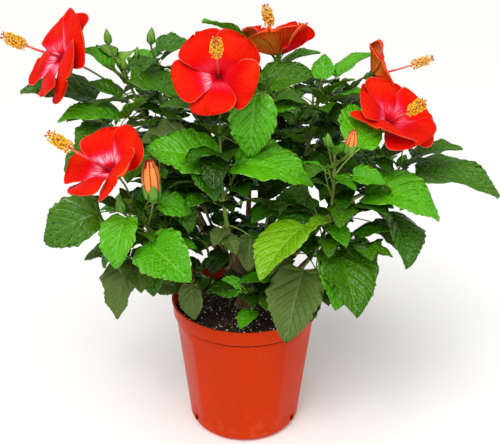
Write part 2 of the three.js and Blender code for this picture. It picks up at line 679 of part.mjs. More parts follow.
// A bloom on its flower twig: its stalk, the calyx, petals that overlap round the throat, and
// the column.
function bloomSolid(shootCurve, { share, calyx, facing, turn, open, size, tip }) {
  const root = shootCurve.getPoint(share);
  const foot = at(calyx);
  const way = at(facing).normalize();
  const first = levelAcross(way);
  const second = new THREE.Vector3().crossVectors(way, first);
  const bend = foot.clone().addScaledVector(way, -PEDICEL_STRAIGHT * root.distanceTo(foot));
  const throat = foot.clone().addScaledVector(way, CLAW_FAR * size);
  const pieces = [
    flowerStalk(root, bend, foot.clone().addScaledVector(way, 2)),
    turned(foot, way, scaled(CALYX_PROFILE, size), CALYX_SIDES),
  ];
  for (let n = 0; n < PETALS; n++) {
    const angle = (turn + (n * 360) / PETALS) * DEG;
    const heading = first.clone().multiplyScalar(Math.cos(angle));
    heading.addScaledVector(second, Math.sin(angle));
    const left = new THREE.Vector3().crossVectors(way, heading);
    const [cos, sin] = [Math.cos(PETAL_ROLL * DEG), Math.sin(PETAL_ROLL * DEG)];
    pieces.push(loft(bladeRings({
      place: throat.clone().addScaledVector(heading, CLAW_OUT * size),
      heading,
      side: left.clone().multiplyScalar(cos).addScaledVector(way, sin),
      up: way.clone().multiplyScalar(cos).addScaledVector(left, -sin),
      long: PETAL_LONG * size,
      wide: PETAL_LONG * size * PETAL_WIDE,
      rise: (90 - open[0]) * DEG,
      droop: (90 - open[1]) * DEG,
      fold: PETAL_FOLD * DEG,
      lobe: 0,
      outline: petalOutline,
      rows: PETAL_ROWS,
      thick: PETAL_THICK,
    })));
  }
  pieces.push(columnSolid(throat, at(tip), size));
  return wasm.Manifold.union(pieces);
}

// Everything that stands where it is set: limbs, buds and blooms. The leaves keep clear of it.
const curvesOf = Object.fromEntries(MASSES.map((mass) => [mass.name, shootCurves(mass)]));
const taken = [];
const leaves = Object.fromEntries(MASSES.map((mass) => [mass.name, []]));
function take(solid, kind, mass = null) {
  taken.push({ solid, kind, mass, box: solid.boundingBox() });
}

take(filledPot(), "limb");
take(trunkSolid(), "limb");
for (const bough of BOUGHS) take(boughSolid(bough), "limb");
for (const mass of MASSES) {
  curvesOf[mass.name].forEach((curve, n) => take(shootSolid(curve, n), "limb", mass.name));
}
for (const bud of BUDS) take(budSolid(curvesOf[bud.mass][bud.shoot], bud), "bud", bud.mass);
const blooms = BLOOMS.map((bloom) => bloomSolid(curvesOf[bloom.mass][bloom.shoot], bloom));
for (const bloom of blooms) take(bloom, "bloom");

function meet(a, b) {
  return a.min.every((low, n) => low <= b.max[n] && b.min[n] <= a.max[n]);
}

function touches(solid, spared) {
  const box = solid.boundingBox();
  return taken.some((other) => {
    return !spared(other) && meet(box, other.box) && !solid.intersect(other.solid).isEmpty();
  });
}

// Sets a leaf where it is clear of everything but its own shoot, or leaves it out.
function growLeaf(mass, curve, leaf) {
  for (const nudge of NUDGES) {
    const grown = leafOn(curve, leaf, nudge);
    const ownStem = (other) => other.mass === mass.name && other.kind !== "blade";
    if (touches(loft(bladeRings(grown.blade, CLEARANCE)), () => false)) continue;
    if (touches(loft(petioleRings(grown, CLEARANCE)), ownStem)) continue;
    take(loft(bladeRings(grown.blade)), "blade", mass.name);
    take(loft(petioleRings(grown)), "petiole", mass.name);
    leaves[mass.name].push(loft([...petioleRings(grown), ...bladeRings(grown.blade).slice(1)]));
    return;
  }
}

// The leaves that show grow first, and the others fill what is left.
for (const mass of MASSES) {
  mass.shoots.forEach((shoot, n) => {
    for (const row of shoot.show) growLeaf(mass, curvesOf[mass.name][n], shownLeaf(row));
  });
}
for (const mass of MASSES) {
  const random = seededNumbers(mass.seed);
  mass.shoots.forEach((shoot, n) => {
    for (const leaf of ruleLeaves(shoot, random)) growLeaf(mass, curvesOf[mass.name][n], leaf);
  });
}

function plain(colour, roughness) {
  return new THREE.MeshStandardMaterial({ color: colour, roughness });
}

const group = new THREE.Group();
group.name = "hibiscus_shrub";
group.add(meshOf("pot", potSolid(), plain(0xc8451f, 0.35)));
group.add(meshOf("soil", soilSolid(), plain(0x3a2c22, 0.95)));
group.add(meshOf("trunk", trunkSolid(), plain(0x8a7458, 0.9)));

const limbs = [trunkSolid(GAP)];
for (const bough of BOUGHS) {
  group.add(meshOf(bough.name, trimmed(boughSolid(bough), limbs), plain(0x94805f, 0.9)));
  limbs.push(boughSolid(bough, GAP));
}
MASSES.forEach((mass, n) => {
  const stems = taken.filter(({ mass: owner, kind }) => {
    return owner === mass.name && ["limb", "bud"].includes(kind);
  });
  const whole = wasm.Manifold.union([...stems.map(({ solid }) => solid), ...leaves[mass.name]]);
  const own = mass.foot ? trimmed(whole, limbs) : whole;
  group.add(meshOf(mass.name, own, plain(FOLIAGE_GREENS[n % 3], 0.5)));
});
BLOOMS.forEach((bloom, n) => {
  const shoots = curvesOf[bloom.mass].map((curve, k) => shootSolid(curve, k, GAP));
  group.add(meshOf(bloom.name, trimmed(blooms[n], shoots), plain(0xd92a1a, 0.5)));
});

export default group;
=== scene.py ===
"""Looks of a hibiscus shrub in its plastic nursery pot.

The shrub grows here by the same rule as its solids, and is carried on to toothed, quilted
leaves, petals, anthers and bark. Growth is worked out in millimetres and meshes are in metres,
with +Z up, the origin in the middle of the pot's flat underside, and -Y as the show side.
"""

import functools
import math

import bmesh
import bpy
import numpy as np
from bpy.props import FloatProperty, FloatVectorProperty, IntProperty, PointerProperty
from mathutils import Matrix, Vector
from mathutils.bvhtree import BVHTree


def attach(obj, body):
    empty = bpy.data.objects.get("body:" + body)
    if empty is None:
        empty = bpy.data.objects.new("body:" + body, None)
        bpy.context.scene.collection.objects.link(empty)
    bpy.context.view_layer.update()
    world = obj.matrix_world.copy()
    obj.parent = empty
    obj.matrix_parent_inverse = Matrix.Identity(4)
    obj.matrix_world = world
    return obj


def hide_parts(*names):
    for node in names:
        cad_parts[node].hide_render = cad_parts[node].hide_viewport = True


bl_info = {
    "name": "Hibiscus Shrub",
    "version": (1, 0, 0),
    "blender": (4, 5, 0),
    "location": "View3D > Sidebar > Shrub",
    "description": "Builds a potted hibiscus shrub with its leaves, buds and blooms",
    "category": "Add Mesh",
}

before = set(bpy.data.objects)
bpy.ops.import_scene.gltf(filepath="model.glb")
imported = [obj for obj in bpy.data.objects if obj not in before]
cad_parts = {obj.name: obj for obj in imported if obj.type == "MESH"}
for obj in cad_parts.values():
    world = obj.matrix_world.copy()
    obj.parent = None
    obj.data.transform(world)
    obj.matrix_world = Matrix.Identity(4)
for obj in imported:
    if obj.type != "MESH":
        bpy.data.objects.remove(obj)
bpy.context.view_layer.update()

# Pot and soil
POT_HEIGHT = 241
RIM_RADIUS = 127
RIM_BAND = 25
LIP = 4
WALL = 2.6
WALL_TOP_RADIUS = 121
WALL_FOOT_RADIUS = 99.5
BAND_FOOT = POT_HEIGHT - RIM_BAND
CORNER = 13
DRAIN_SLOTS = 3
SLOT_WIDTH = 12
SLOT_HEIGHT = 19
SOIL_TOP = 222
SOIL_EDGE = 215
SOIL_FLAT = 42
GAP = 0.3
POT_SIDES = 40
PER_METRE = 1000

# Trunk and boughs
TRUNK_TOP = 302
TRUNK_LEAN = (5, -4)
TRUNK_RADII = (21, 14.5, 12.5, 11.5, 10.5)
TRUNK_STEPS = (0, 0.12, 0.35, 0.7, 1)
TRUNK_SIDES = 10
TRUNK_SINK = 4
BOUGH_RADII = (7.2, 4.2)
BOUGH_SIDES = 6
BOUGH_STEPS = 5

# Green shoots, petioles and leaves
SHOOT_RADII = (3.9, 2.6)
SHOOT_SIDES = 4
SHOOT_STEPS = 4
FORK_RADII = (3, 2.3)
FORK_SWING = (0.55, 0.35)
LEADER_STRAIGHT = 0.4
PETIOLE_RADII = (1.1, 1.2)
PETIOLE_ARCH = 0.12
LEAF_LONG = 112
LEAF_WIDE = 0.78
LEAF_THICK = 1.7
LEAF_ROWS = (0, 0.22, 0.62, 1)
LEAF_LOBE = 0.1
LEAF_FOLD = 14
GOLDEN_TURN = 137.5
CLEARANCE = 0.8
# Ranges that a leaf grown by rule keeps to: its share of the shoot, its shrinking along it, and
# how its length, stalk, height, angles and place round the shoot vary
LEAF_SHARES = (0.08, 0.98)
LEAF_SHRINK = (1.05, 0.62)
LEAF_VARIES = (0.85, 1.15)
LEAF_REACH = (0.24, 0.4)
LEAF_LIFT = (0.3, 0.8)
LEAF_RISE = (-8, 22)
LEAF_ARCH = (50, 90)
LEAF_SWIVEL = (-12, 12)
LEAF_ROLL = (-14, 14)
TURN_VARIES = (-15, 15)
# Turn, tip and shrink of each try at a place
NUDGES = [
    (0, 0, 1), (0, -7, 1), (0, 7, 1), (10, 0, 1), (-10, 0, 1), (20, -5, 0.95), (-20, -5, 0.95),
    (0, -18, 0.92), (0, 16, 0.92), (40, -8, 0.85), (-40, -8, 0.85), (65, 0, 0.75), (-65, 0, 0.75),
]

# Blooms and buds
PETALS = 5
PETAL_LONG = 70
PETAL_WIDE = 1.1
PETAL_ROWS = (0, 0.35, 0.7, 0.9, 1)
PETAL_THICK = 1.5
PETAL_ROLL = 12
PETAL_FOLD = -6
CLAW_FAR = 16
CLAW_OUT = 2.5
CALYX_PROFILE = [(1.5, 0), (5, 3), (6, 10), (7, 20), (4, 21)]
CALYX_SIDES = 6
PEDICEL_RADIUS = 1.5
PEDICEL_STRAIGHT = 0.45
PEDICEL_SIDES = 4
PEDICEL_STEPS = 3
PEDICEL_SINK = 2
COLUMN_SAG = 5
COLUMN_RADII = (2.2, 1.4)
COLUMN_STEPS = 8
COLUMN_SIDES = 5
BRUSH_SHARE = 0.27
BRUSH_RADIUS = 8
BUD_PROFILE = [(0.08, 0), (0.26, 0.2), (0.24, 0.6), (0.04, 1)]
BUD_SIDES = 5
BUD_STALK_STRAIGHT = 12
BUD_STALK_BEND = 0.6
# The rule of the seeded numbers that place the leaves
NUMBER_FACTOR = 1664525
NUMBER_STEP = 1013904223
NUMBER_RANGE = 2 ** 32

# Kinds of leaf: young yellow-green, fresh and bright, mature and dark, old and dull
YOUNG, FRESH, MATURE, OLD = range(4)


def table(columns, *rows):
    """Each row by the names of its columns."""
    return [dict(zip(columns.split(), row)) for row in rows]


# The foot is a height on the trunk
BOUGHS = table(
  "name foot tip",
  ("bough_left", 250, [-104, -66, 342]),
  ("bough_right", 246, [100, -62, 338]),
  ("bough_far_right", 262, [124, 6, 368]),
  ("bough_back_left", 256, [-92, 112, 366]),
  ("bough_back_right", 250, [88, 126, 366]),
  ("bough_upper_left", 282, [-96, 22, 400]),
  ("bough_front", 276, [-28, -68, 398]),
  ("bough_upper_right", 284, [80, 48, 404]),
  ("bough_back", 290, [6, 72, 420]),
)

# A mass starts at a bough's tip or at a point in the trunk. A shoot has its tip, the number, first
# turn and size of the leaves that it grows by rule, the share of the leader where it forks, which
# is 0 for the leader, and the leaves that are seen in front. Their last number is their kind
SHOOT = "tip leaves turn size fork show"
LEAF = "share heading reach lift swivel long rise arch roll kind"
MASSES = table(
  "name start seed shoots",
  ("foliage_left", "bough_left", 5, table(SHOOT,
    ([-172, -112, 452], 3, 70, 0.9, 0, [
      [0.86, -174, 55, 7, 21, 109, -17, 55, -41, 2],
      [0.86, -104, 42, 14, -8, 80, -29, 68, 1, 1],
      [0.86, -32, 40, 30, 27, 56, -13, 41, 38, 1],
    ]),
    ([-148, -128, 428], 2, 20, 0.7, 0.3, [
      [0.74, -86, 34, 0, 26, 104, 0, 35, 35, 1],
    ]),
    ([-188, -58, 334], 4, 150, 0.8, 0.05, [
      [0.98, -77, 13, 10, -46, 99, -41, 32, 10, 3],
      [0.7, -101, 30, 10, 25, 78, 8, 40, 0, 3],
      [0.88, -37, 27, -24, 26, 63, -19, 32, 34, 3],
    ]),
    ([-130, -56, 520], 3, 150, 0.8, 0.45, [
      [0.96, -156, 31, 0, 55, 62, 0, 40, 0, 1],
    ]),
  )),
  ("foliage_upper_left", "bough_upper_left", 9, table(SHOOT,
    ([-190, 20, 622], 4, 60, 0.8, 0, [
      [0.7, -146, 49, 10, -22, 95, 25, 54, -11, 1],
      [0.96, 162, 27, 15, 8, 59, 54, 47, -8, 1],
      [0.92, -122, 14, 7, -30, 46, 63, 40, -8, 2],
      [0.88, -121, 29, -2, -60, 58, 41, 36, -15, 2],
      [0.96, -74, 44, 11, 74, 101, -7, 36, 18, 2],
      [0.98, 41, 59, 38, -40, 59, 17, 38, 30, 2],
      [0.98, 55, 29, 13, -32, 51, 37, 45, 14, 1],
    ]),
    ([-138, 52, 632], 3, 10, 0.8, 0.45, [
      [0.34, -57, 72, 8, -119, 70, 10, 49, -33, 3],
    ]),
    ([-222, 62, 520], 4, 100, 0.9, 0.3, [
      [0.98, -97, 64, 25, -21, 65, -3, 37, -2, 2],
      [0.72, -136, 62, -1, -9, 67, -24, 46, -39, 2],
      [0.96, -140, 30, 57, -37, 119, 21, 30, -12, 2],
      [0.9, -55, 60, 42, 35, 58, 62, 45, 0, 1],
      [0.88, -14, 33, 39, 6, 86, 21, 50, -10, 2],
    ]),
  )),
  ("foliage_front", "bough_front", 13, table(SHOOT,
    ([-38, -76, 590], 4, 30, 0.9, 0, [
      [0.06, -111, 19, -1, 0, 36, -17, 20, 0, 3],
      [0.04, -92, 22, -9, 29, 40, -18, 20, 0, 3],
      [0.04, 15, 38, -24, -110, 58, -44, 20, 0, 3],
    ]),
    ([-92, -92, 512], 2, 200, 0.8, 0.3, [
      [0.22, -49, 4, 55, -140, 108, 26, 31, -34, 1],
      [0.66, -23, 62, 33, 12, 122, 12, 54, 18, 1],
    ]),
    ([26, -66, 612], 3, 100, 0.8, 0.35, [
      [0.26, -116, 38, 37, -102, 84, 22, 60, 8, 1],
      [0.64, 158, 55, 16, 73, 62, 47, 40, 0, 2],
      [0.54, 156, 53, 17, 80, 56, 54, 50, 0, 2],
      [0.98, -107, 39, 10, 10, 92, -68, 46, -5, 1],
    ]),
  )),
  ("foliage_right", "bough_right", 17, table(SHOOT,
    ([128, -106, 532], 3, 80, 0.9, 0, [
      [0.86, 2, 35, 42, 96, 93, 40, 23, 14, 1],
      [0.86, -76, 45, 16, -139, 85, 40, 19, -17, 1],
      [0.86, -36, 31, 7, 26, 50, 9, 48, 28, 1],
      [0.32, 133, 29, 63, 103, 74, -41, 61, -54, 2],
      [0.54, -134, 58, 3, 1, 122, -6, 35, 12, 0],
      [0.56, -95, 22, -1, -44, 46, 20, 40, 0, 0],
      [0.5, 12, 57, 39, -28, 131, 24, 85, 17, 1],
      [0.3, 21, 45, 24, -49, 84, 57, 60, 0, 2],
      [0.46, -76, 17, 5, 12, 50, 0, 40, 0, 1],
      [0.08, -109, 52, 1, -4, 117, -40, 30, 0, 3],
      [0.04, -65, 29, -17, -15, 66, -4, 30, 0, 3],
      [0.1, -141, 36, 5, 10, 56, -13, 30, 0, 3],
      [0.22, -92, 7, 17, -27, 50, 5, 30, 0, 2],
    ]),
    ([196, -76, 352], 3, 300, 0.9, 0.08, [
      [0.12, -41, 35, 22, -36, 122, -14, 35, -6, 2],
      [0.44, 34, 51, 13, -92, 83, -34, 25, -7, 2],
      [0.1, -92, 51, -51, -27, 74, -17, 30, 0, 3],
    ]),
  )),
  ("foliage_far_right", "bough_far_right", 21, table(SHOOT,
    ([214, -22, 500], 2, 200, 0.8, 0, [
      [0.14, -12, 76, 0, -35, 64, -11, 40, 0, 3],
    ]),
    ([256, 28, 462], 3, 20, 1, 0.35, [
      [0.38, -49, 50, -18, -18, 118, -3, 54, -24, 2],
      [0.88, -62, 41, 42, 52, 80, 31, 36, 4, 2],
      [0.98, -109, 50, 58, -26, 60, 19, 50, 0, 2],
      [0.74, -29, 49, 19, 6, 138, 16, 49, 8, 2],
    ]),
  )),
  ("foliage_upper_right", "bough_upper_right", 25, table(SHOOT,
    ([120, 42, 612], 5, 250, 0.7, 0, [
      [0.86, -81, 18, 35, 161, 50, 28, -25, 0, 1],
      [0.86, -7, 27, 35, 21, 74, 44, 30, 0, 1],
      [0.86, -59, 21, 5, 22, 62, 61, 50, 0, 2],
      [0.86, -51, 36, 4, 17, 66, 41, 40, 0, 1],
      [0.84, -81, 29, 3, -59, 40, 68, 40, 0, 2],
      [0.64, -105, 36, 0, -20, 68, 32, 50, 10, 2],
      [0.74, -70, 34, 0, 115, 42, 23, 40, 0, 2],
      [0.68, -153, 29, 2, -63, 62, 44, 40, 0, 2],
      [0.54, -133, 35, 5, -4, 62, 44, 40, 0, 1],
    ]),
    ([166, 56, 578], 3, 80, 0.7, 0.4, []),
  )),
  ("foliage_back", "bough_back", 29, table(SHOOT,
    ([40, 72, 598], 5, 120, 0.9, 0, []),
    ([-40, 56, 650], 5, 200, 0.9, 0.3, [
      [0.92, -58, 45, 42, -86, 74, 45, 40, 0, 1],
      [0.62, -35, 59, 34, 50, 87, 30, 38, 30, 2],
    ]),
    ([26, 162, 560], 7, 60, 1, 0.2, [
      [0.98, -57, 68, 63, 57, 64, 35, 37, 5, 1],
    ]),
  )),
  ("foliage_back_left", "bough_back_left", 33, table(SHOOT,
    ([-132, 190, 560], 7, 100, 1, 0, []),
    ([-212, 142, 470], 6, 170, 1, 0.25, []),
    ([-120, 206, 400], 5, 120, 0.9, 0.1, []),
  )),
  ("foliage_back_right", "bough_back_right", 37, table(SHOOT,
    ([124, 208, 552], 7, 40, 1, 0, []),
    ([214, 142, 484], 6, 10, 1, 0.25, []),
    ([110, 216, 396], 5, 60, 0.9, 0.1, []),
  )),
  ("foliage_inner_left", [-3, -1, 284], 49, table(SHOOT,
    ([-72, -8, 424], 5, 200, 0.85, 0, []),
    ([-34, -40, 384], 3, 300, 0.55, 0.35, []),
  )),
  ("foliage_inner_right", [4, -6, 278], 53, table(SHOOT,
    ([38, -52, 428], 5, 280, 0.85, 0, []),
    ([70, -20, 400], 4, 330, 0.6, 0.35, []),
  )),
  ("foliage_low_front", [4, -12, 254], 41, table(SHOOT,
    ([10, -92, 292], 4, 240, 0.45, 0, [
      [0.72, 165, 16, 22, 8, 51, -8, 32, -52, 1],
      [0.58, -81, 24, -14, -36, 44, -4, 20, 0, 1],
    ]),
    ([56, -92, 322], 2, 300, 0.7, 0.5, [
      [0.62, 176, 18, -9, 34, 56, 3, 20, 0, 2],
      [0.38, 2, 14, 12, -52, 38, -16, 20, 0, 2],
      [0.1, -53, 25, -3, 35, 44, -12, 20, 0, 1],
    ]),
    ([-74, -66, 316], 3, 220, 0.45, 0.35, [
      [0.98, -144, 17, -12, 31, 62, -69, 24, 11, 3],
      [0.42, 1, 6, 3, -158, 49, -31, 24, -28, 3],
    ]),
  )),
  ("foliage_low_back", [-4, 12, 258], 45, table(SHOOT,
    ([-14, 96, 306], 4, 90, 0.55, 0, []),
    ([54, 88, 316], 3, 60, 0.55, 0.4, []),
  )),
)

# open holds the petals' angles from facing at their foot and tip, blaze how pink each petal is
BLOOMS = [
  dict(name="bloom_far_left", mass="foliage_upper_left", shoot=0, share=0.8,
    calyx=[-263, 6, 640], facing=[-0.74, -0.47, 0.48], turn=50, open=[48, 114],
    size=0.98, tip=[-346, -42, 685], blaze=[0.8, 0.5, 0.9, 0.8, 0.6], spread=1.3),
  dict(name="bloom_left", mass="foliage_left", shoot=0, share=0.93,
    calyx=[-182, -122, 500], facing=[-0.48, -0.38, 0.79], turn=-5, open=[40, 90],
    size=0.98, tip=[-266, -152, 571], blaze=[1, 1, 1, 0.8, 1], spread=1.12),
  dict(name="bloom_front", mass="foliage_front", shoot=0, share=0.93,
    calyx=[-36, -82, 635], facing=[-0.15, -0.87, 0.47], turn=57, open=[44, 92],
    size=0.93, tip=[-39, -166, 701], blaze=[0.1, 0.2, 0.9, 0.3, 0.1], spread=1.0),
  dict(name="bloom_top", mass="foliage_back", shoot=0, share=0.93,
    calyx=[51, 66, 626], facing=[-0.1, 0.13, 1], turn=50, open=[30, 66],
    size=0.97, tip=[31, 82, 712], blaze=[0.3, 0.3, 0.3, 0.3, 0.3], spread=1.1),
  dict(name="bloom_upper_right", mass="foliage_upper_right", shoot=1, share=0.94,
    calyx=[189, 54, 609], facing=[0.93, -0.12, 0.32], turn=10, open=[30, 100],
    size=0.82, tip=[287, 36, 643], blaze=[0.2, 0.2, 0.2, 0.2, 0.2], spread=1.15),
  dict(name="bloom_right", mass="foliage_far_right", shoot=0, share=0.93,
    calyx=[210, -36, 549], facing=[0.37, -0.42, 0.83], turn=-12, open=[42, 92],
    size=0.96, tip=[244, -115, 610], blaze=[0.5, 0.4, 0.6, 0.5, 0.4], spread=1.3),
]

BUDS = table(
  "mass shoot share base lean long opened",
  ("foliage_upper_left", 0, 0.97, [-209, 12, 666], [-0.1, 0, 1], 24, 0),
  ("foliage_upper_left", 1, 0.97, [-147, 24, 664], [0.1, 0, 1], 27, 0),
  ("foliage_upper_left", 0, 0.93, [-166, 2, 648], [0.1, -0.1, 1], 18, 0),
  ("foliage_upper_left", 0, 0.9, [-184, -4, 631], [-0.1, -0.2, 1], 20, 0),
  ("foliage_left", 1, 0.95, [-131, -150, 474], [-0.05, 0, 1], 62, 1),
  ("foliage_left", 0, 0.86, [-178, -142, 454], [-0.1, -0.2, 1], 28, 0),
  ("foliage_right", 0, 0.97, [143, -140, 542], [0.15, -0.1, 1], 38, 0.8),
  ("foliage_right", 0, 0.9, [117, -122, 548], [-0.1, -0.1, 1], 22, 0),
)


# Growth, in millimetres
UP = np.array([0.0, 0.0, 1.0])


def unit(vector):
    """The vector's direction, one long."""
    return vector / np.linalg.norm(vector)


def mix(a, b, share):
    """a at 0, b at 1 and what lies between them in even steps."""
    return a + (b - a) * share


def smooth(low, high, value):
    """0 below low and 1 above high, with an even rise between them."""
    share = np.clip((value - low) / (high - low), 0, 1)
    return share * share * (3 - 2 * share)


def level_way(degrees):
    """A level direction, from +X towards +Y."""
    return np.array([math.cos(math.radians(degrees)), math.sin(math.radians(degrees)), 0.0])


def seeded_numbers(seed):
    """The same row of numbers between 0 and 1 for the same seed."""
    state = seed
    while True:
        state = (state * NUMBER_FACTOR + NUMBER_STEP) % NUMBER_RANGE
        yield state / NUMBER_RANGE


class Curve:
    """A limb's middle line, from its foot past a bend to its tip."""

    def __init__(self, foot, bend, tip):
        self.foot, self.bend, self.tip = (np.asarray(p, float) for p in (foot, bend, tip))

    def point(self, share):
        t = np.asarray(share, float)[..., None]
        return (1 - t) ** 2 * self.foot + 2 * t * (1 - t) * self.bend + t * t * self.tip

    def way(self, share):
        t = np.asarray(share, float)[..., None]
        slope = (1 - t) * (self.bend - self.foot) + t * (self.tip - self.bend)
        return slope / np.linalg.norm(slope, axis=-1, keepdims=True)

    def long(self):
        line = self.point(np.linspace(0, 1, 17))
        return np.linalg.norm(np.diff(line, axis=0), axis=1).sum()


def swing(foot, tip, out=0.6, climb=0.3):
    """A limb's curve: it swings outward first and then climbs."""
    bend = mix(np.asarray(foot, float), np.asarray(tip, float), out)
    bend[2] = mix(foot[2], tip[2], climb)
    return Curve(foot, bend, tip)


def level_across(way):
    """A level direction square to the way."""
    level = np.cross(UP, way)
    return unit(level) if np.linalg.norm(level) > 1e-3 else np.array([1.0, 0.0, 0.0])


def ways_round(way, turns):
    """Directions square to the way, one at each turn round it."""
    first = level_across(way)
    second = np.cross(way, first)
    return [first * math.cos(turn) + second * math.sin(turn) for turn in turns]


def ring(middle, first, second, radius, sides):
    """Corners of a circle in the plane of two directions."""
    turn = 2 * np.pi * np.arange(sides) / sides
    return middle + radius * (np.cos(turn)[:, None] * first + np.sin(turn)[:, None] * second)


def limb(curve, radius_at, steps, sides):
    """Rings round a curve, turning as little as they can from one to the next."""
    rings = []
    first = level_across(curve.way(0))
    for n in range(steps + 1):
        share = n / steps
        way = curve.way(share)
        first = unit(first - first.dot(way) * way)
        rings.append(ring(curve.point(share), first, np.cross(way, first), radius_at(share), sides))
    return rings


def taper(radii):
    """A radius that changes evenly from a limb's foot to its tip."""
    return lambda share: mix(*radii, share)


def turned(start, way, profile, sides):
    """Rings round an axis out from a point, from (radius, distance) pairs."""
    first = level_across(way)
    second = np.cross(way, first)
    return [ring(start + way * far, first, second, radius, sides) for radius, far in profile]


def loft(rings):
    """Points and triangles of the solid between rings. A ring of one point closes to a tip."""
    sides = max(len(corners) for corners in rings)
    points = np.vstack(rings)
    rows, start = [], 0
    for corners in rings:
        rows.append([start + (j if len(corners) > 1 else 0) for j in range(sides)])
        start += len(corners)
    faces = []
    for low, high in zip(rows, rows[1:]):
        for j in range(sides):
            k = (j + 1) % sides
            a, b, c, d = low[j], low[k], high[k], high[j]
            faces += [(a, b, d), (b, c, d)] if j % 2 else [(a, b, c), (a, c, d)]
    for j in range(1, sides - 1):
        faces += [(rows[0][0], rows[0][j + 1], rows[0][j]), (rows[-1][0], rows[-1][j], rows[-1][j + 1])]
    return points, [face for face in faces if len(set(face)) == 3]


def leaf_outline(u):
    """A leaf's width from its base at 0 to its tip at 1, broadest below the middle."""
    return np.maximum(0, np.sin(np.pi * u ** 0.68)) ** 0.85


def petal_outline(u):
    """A petal's width from its narrow claw at 0 to its round end at 1."""
    return 1.4 * u ** 0.7 * np.sqrt(np.maximum(0, 1 - u ** 5))


class Blade:
    """A leaf or a petal: it leaves its place along heading, at the angle rise towards up, and
    bends evenly to the angle droop at its tip. side is to the left of both."""

    def __init__(self, **sizes):
        self.__dict__.update(sizes)

    def frame(self, u):
        """The rib's point at u, its direction there and the way up from the blade."""
        u = np.asarray(u, float)[..., None]
        bend = self.droop - self.rise
        angle = self.rise + bend * u
        run = self.long * (np.sin(angle) - math.sin(self.rise)) / bend
        climb = self.long * (math.cos(self.rise) - np.cos(angle)) / bend
        rib = self.place + self.heading * run + self.up * climb
        forward = self.heading * np.cos(angle) + self.up * np.sin(angle)
        normal = self.up * np.cos(angle) - self.heading * np.sin(angle)
        return rib, forward, normal

    def point(self, u, v, spare=0.0):
        """A point at u along the rib and v across, which is -1 and 1 at the edges."""
        rib, forward, normal = self.frame(u)
        u, v = np.asarray(u, float)[..., None], np.asarray(v, float)[..., None]
        half = 0.5 * self.wide * self.outline(u) + spare
        lobe = self.lobe * self.long * v * v * (1 - u) ** 2
        return (rib + self.side * v * half * math.cos(self.fold)
                + normal * np.abs(v) * half * math.sin(self.fold) - forward * lobe)

    def rings(self, spare=0.0):
        """Coarse rings, thick at the rib and thin at the edges."""
        rings = []
        for u in self.rows:
            rib, forward, normal = self.frame(u)
            if u in (0, 1):
                rings.append((rib + forward * (spare if u else -spare))[None])
                continue
            rings.append(np.array([
                self.point(u, 1, spare), rib + normal * spare,
                self.point(u, -1, spare), rib - normal * (self.thick + spare),
            ]))
        return rings


def trunk_middle(height):
    """The middle of the leaning trunk at a height."""
    share = (height - SOIL_TOP) / (TRUNK_TOP - SOIL_TOP)
    return np.array([TRUNK_LEAN[0] * share, TRUNK_LEAN[1] * share, height])


def trunk_rings():
    """The trunk as its solid has it."""
    east, north = np.eye(3)[:2]
    foot = SOIL_TOP + GAP
    middles = [np.array([TRUNK_LEAN[0] * share, TRUNK_LEAN[1] * share, mix(foot, TRUNK_TOP, share)])
               for share in TRUNK_STEPS]
    return [ring(middle, east, north, radius, TRUNK_SIDES)
            for middle, radius in zip(middles, TRUNK_RADII)]


def pot_rings():
    """What the leaves keep out of: the filled pot."""
    outline = [(0, 0), (WALL_FOOT_RADIUS, 0), (RIM_RADIUS, BAND_FOOT), (RIM_RADIUS, POT_HEIGHT),
               (RIM_RADIUS - LIP, POT_HEIGHT), (RIM_RADIUS - LIP, SOIL_EDGE),
               (SOIL_FLAT, SOIL_TOP), (0, SOIL_TOP)]
    east, north = np.eye(3)[:2]
    return [UP[None] * height if radius == 0 else ring(UP * height, east, north, radius, POT_SIDES)
            for radius, height in outline]


def bough_curve(bough):
    return swing(trunk_middle(bough["foot"]), bough["tip"])


def shoot_curves(mass):
    """The leader goes on from the bough's tip, or starts in the trunk, and the other shoots
    fork from the leader."""
    curves = []
    for shoot in mass["shoots"]:
        tip = np.array(shoot["tip"], float)
        if shoot["fork"]:
            curves.append(swing(curves[0].point(shoot["fork"]), tip, *FORK_SWING))
        elif isinstance(mass["start"], str):
            bough = next(b for b in BOUGHS if b["name"] == mass["start"])
            way = bough_curve(bough).way(1)
            foot = np.array(bough["tip"], float) + way * GAP
            bend = foot + way * LEADER_STRAIGHT * np.linalg.norm(foot - tip)
            curves.append(Curve(foot, bend, tip))
        else:
            curves.append(swing(np.array(mass["start"], float), tip))
    return curves


def rule_leaves(shoot, random):
    """The leaves that a shoot grows by rule, wound round it by the golden angle."""
    leaves = []
    for n in range(shoot["leaves"]):
        a, b, c, d, e, f, g, h = (next(random) for _ in range(8))
        share = mix(*LEAF_SHARES, (n + 0.25 + 0.5 * a) / shoot["leaves"])
        long = LEAF_LONG * shoot["size"] * mix(*LEAF_SHRINK, share) * mix(*LEAF_VARIES, b)
        reach = long * mix(*LEAF_REACH, c)
        rise = mix(*LEAF_RISE, d)
        leaves.append(dict(
            share=share, heading=shoot["turn"] + GOLDEN_TURN * n + mix(*TURN_VARIES, e), reach=reach,
            lift=reach * mix(*LEAF_LIFT, f), swivel=mix(*LEAF_SWIVEL, g), long=long, rise=rise,
            droop=rise - mix(*LEAF_ARCH, h), roll=mix(*LEAF_ROLL, a), kind=None,
        ))
    return leaves


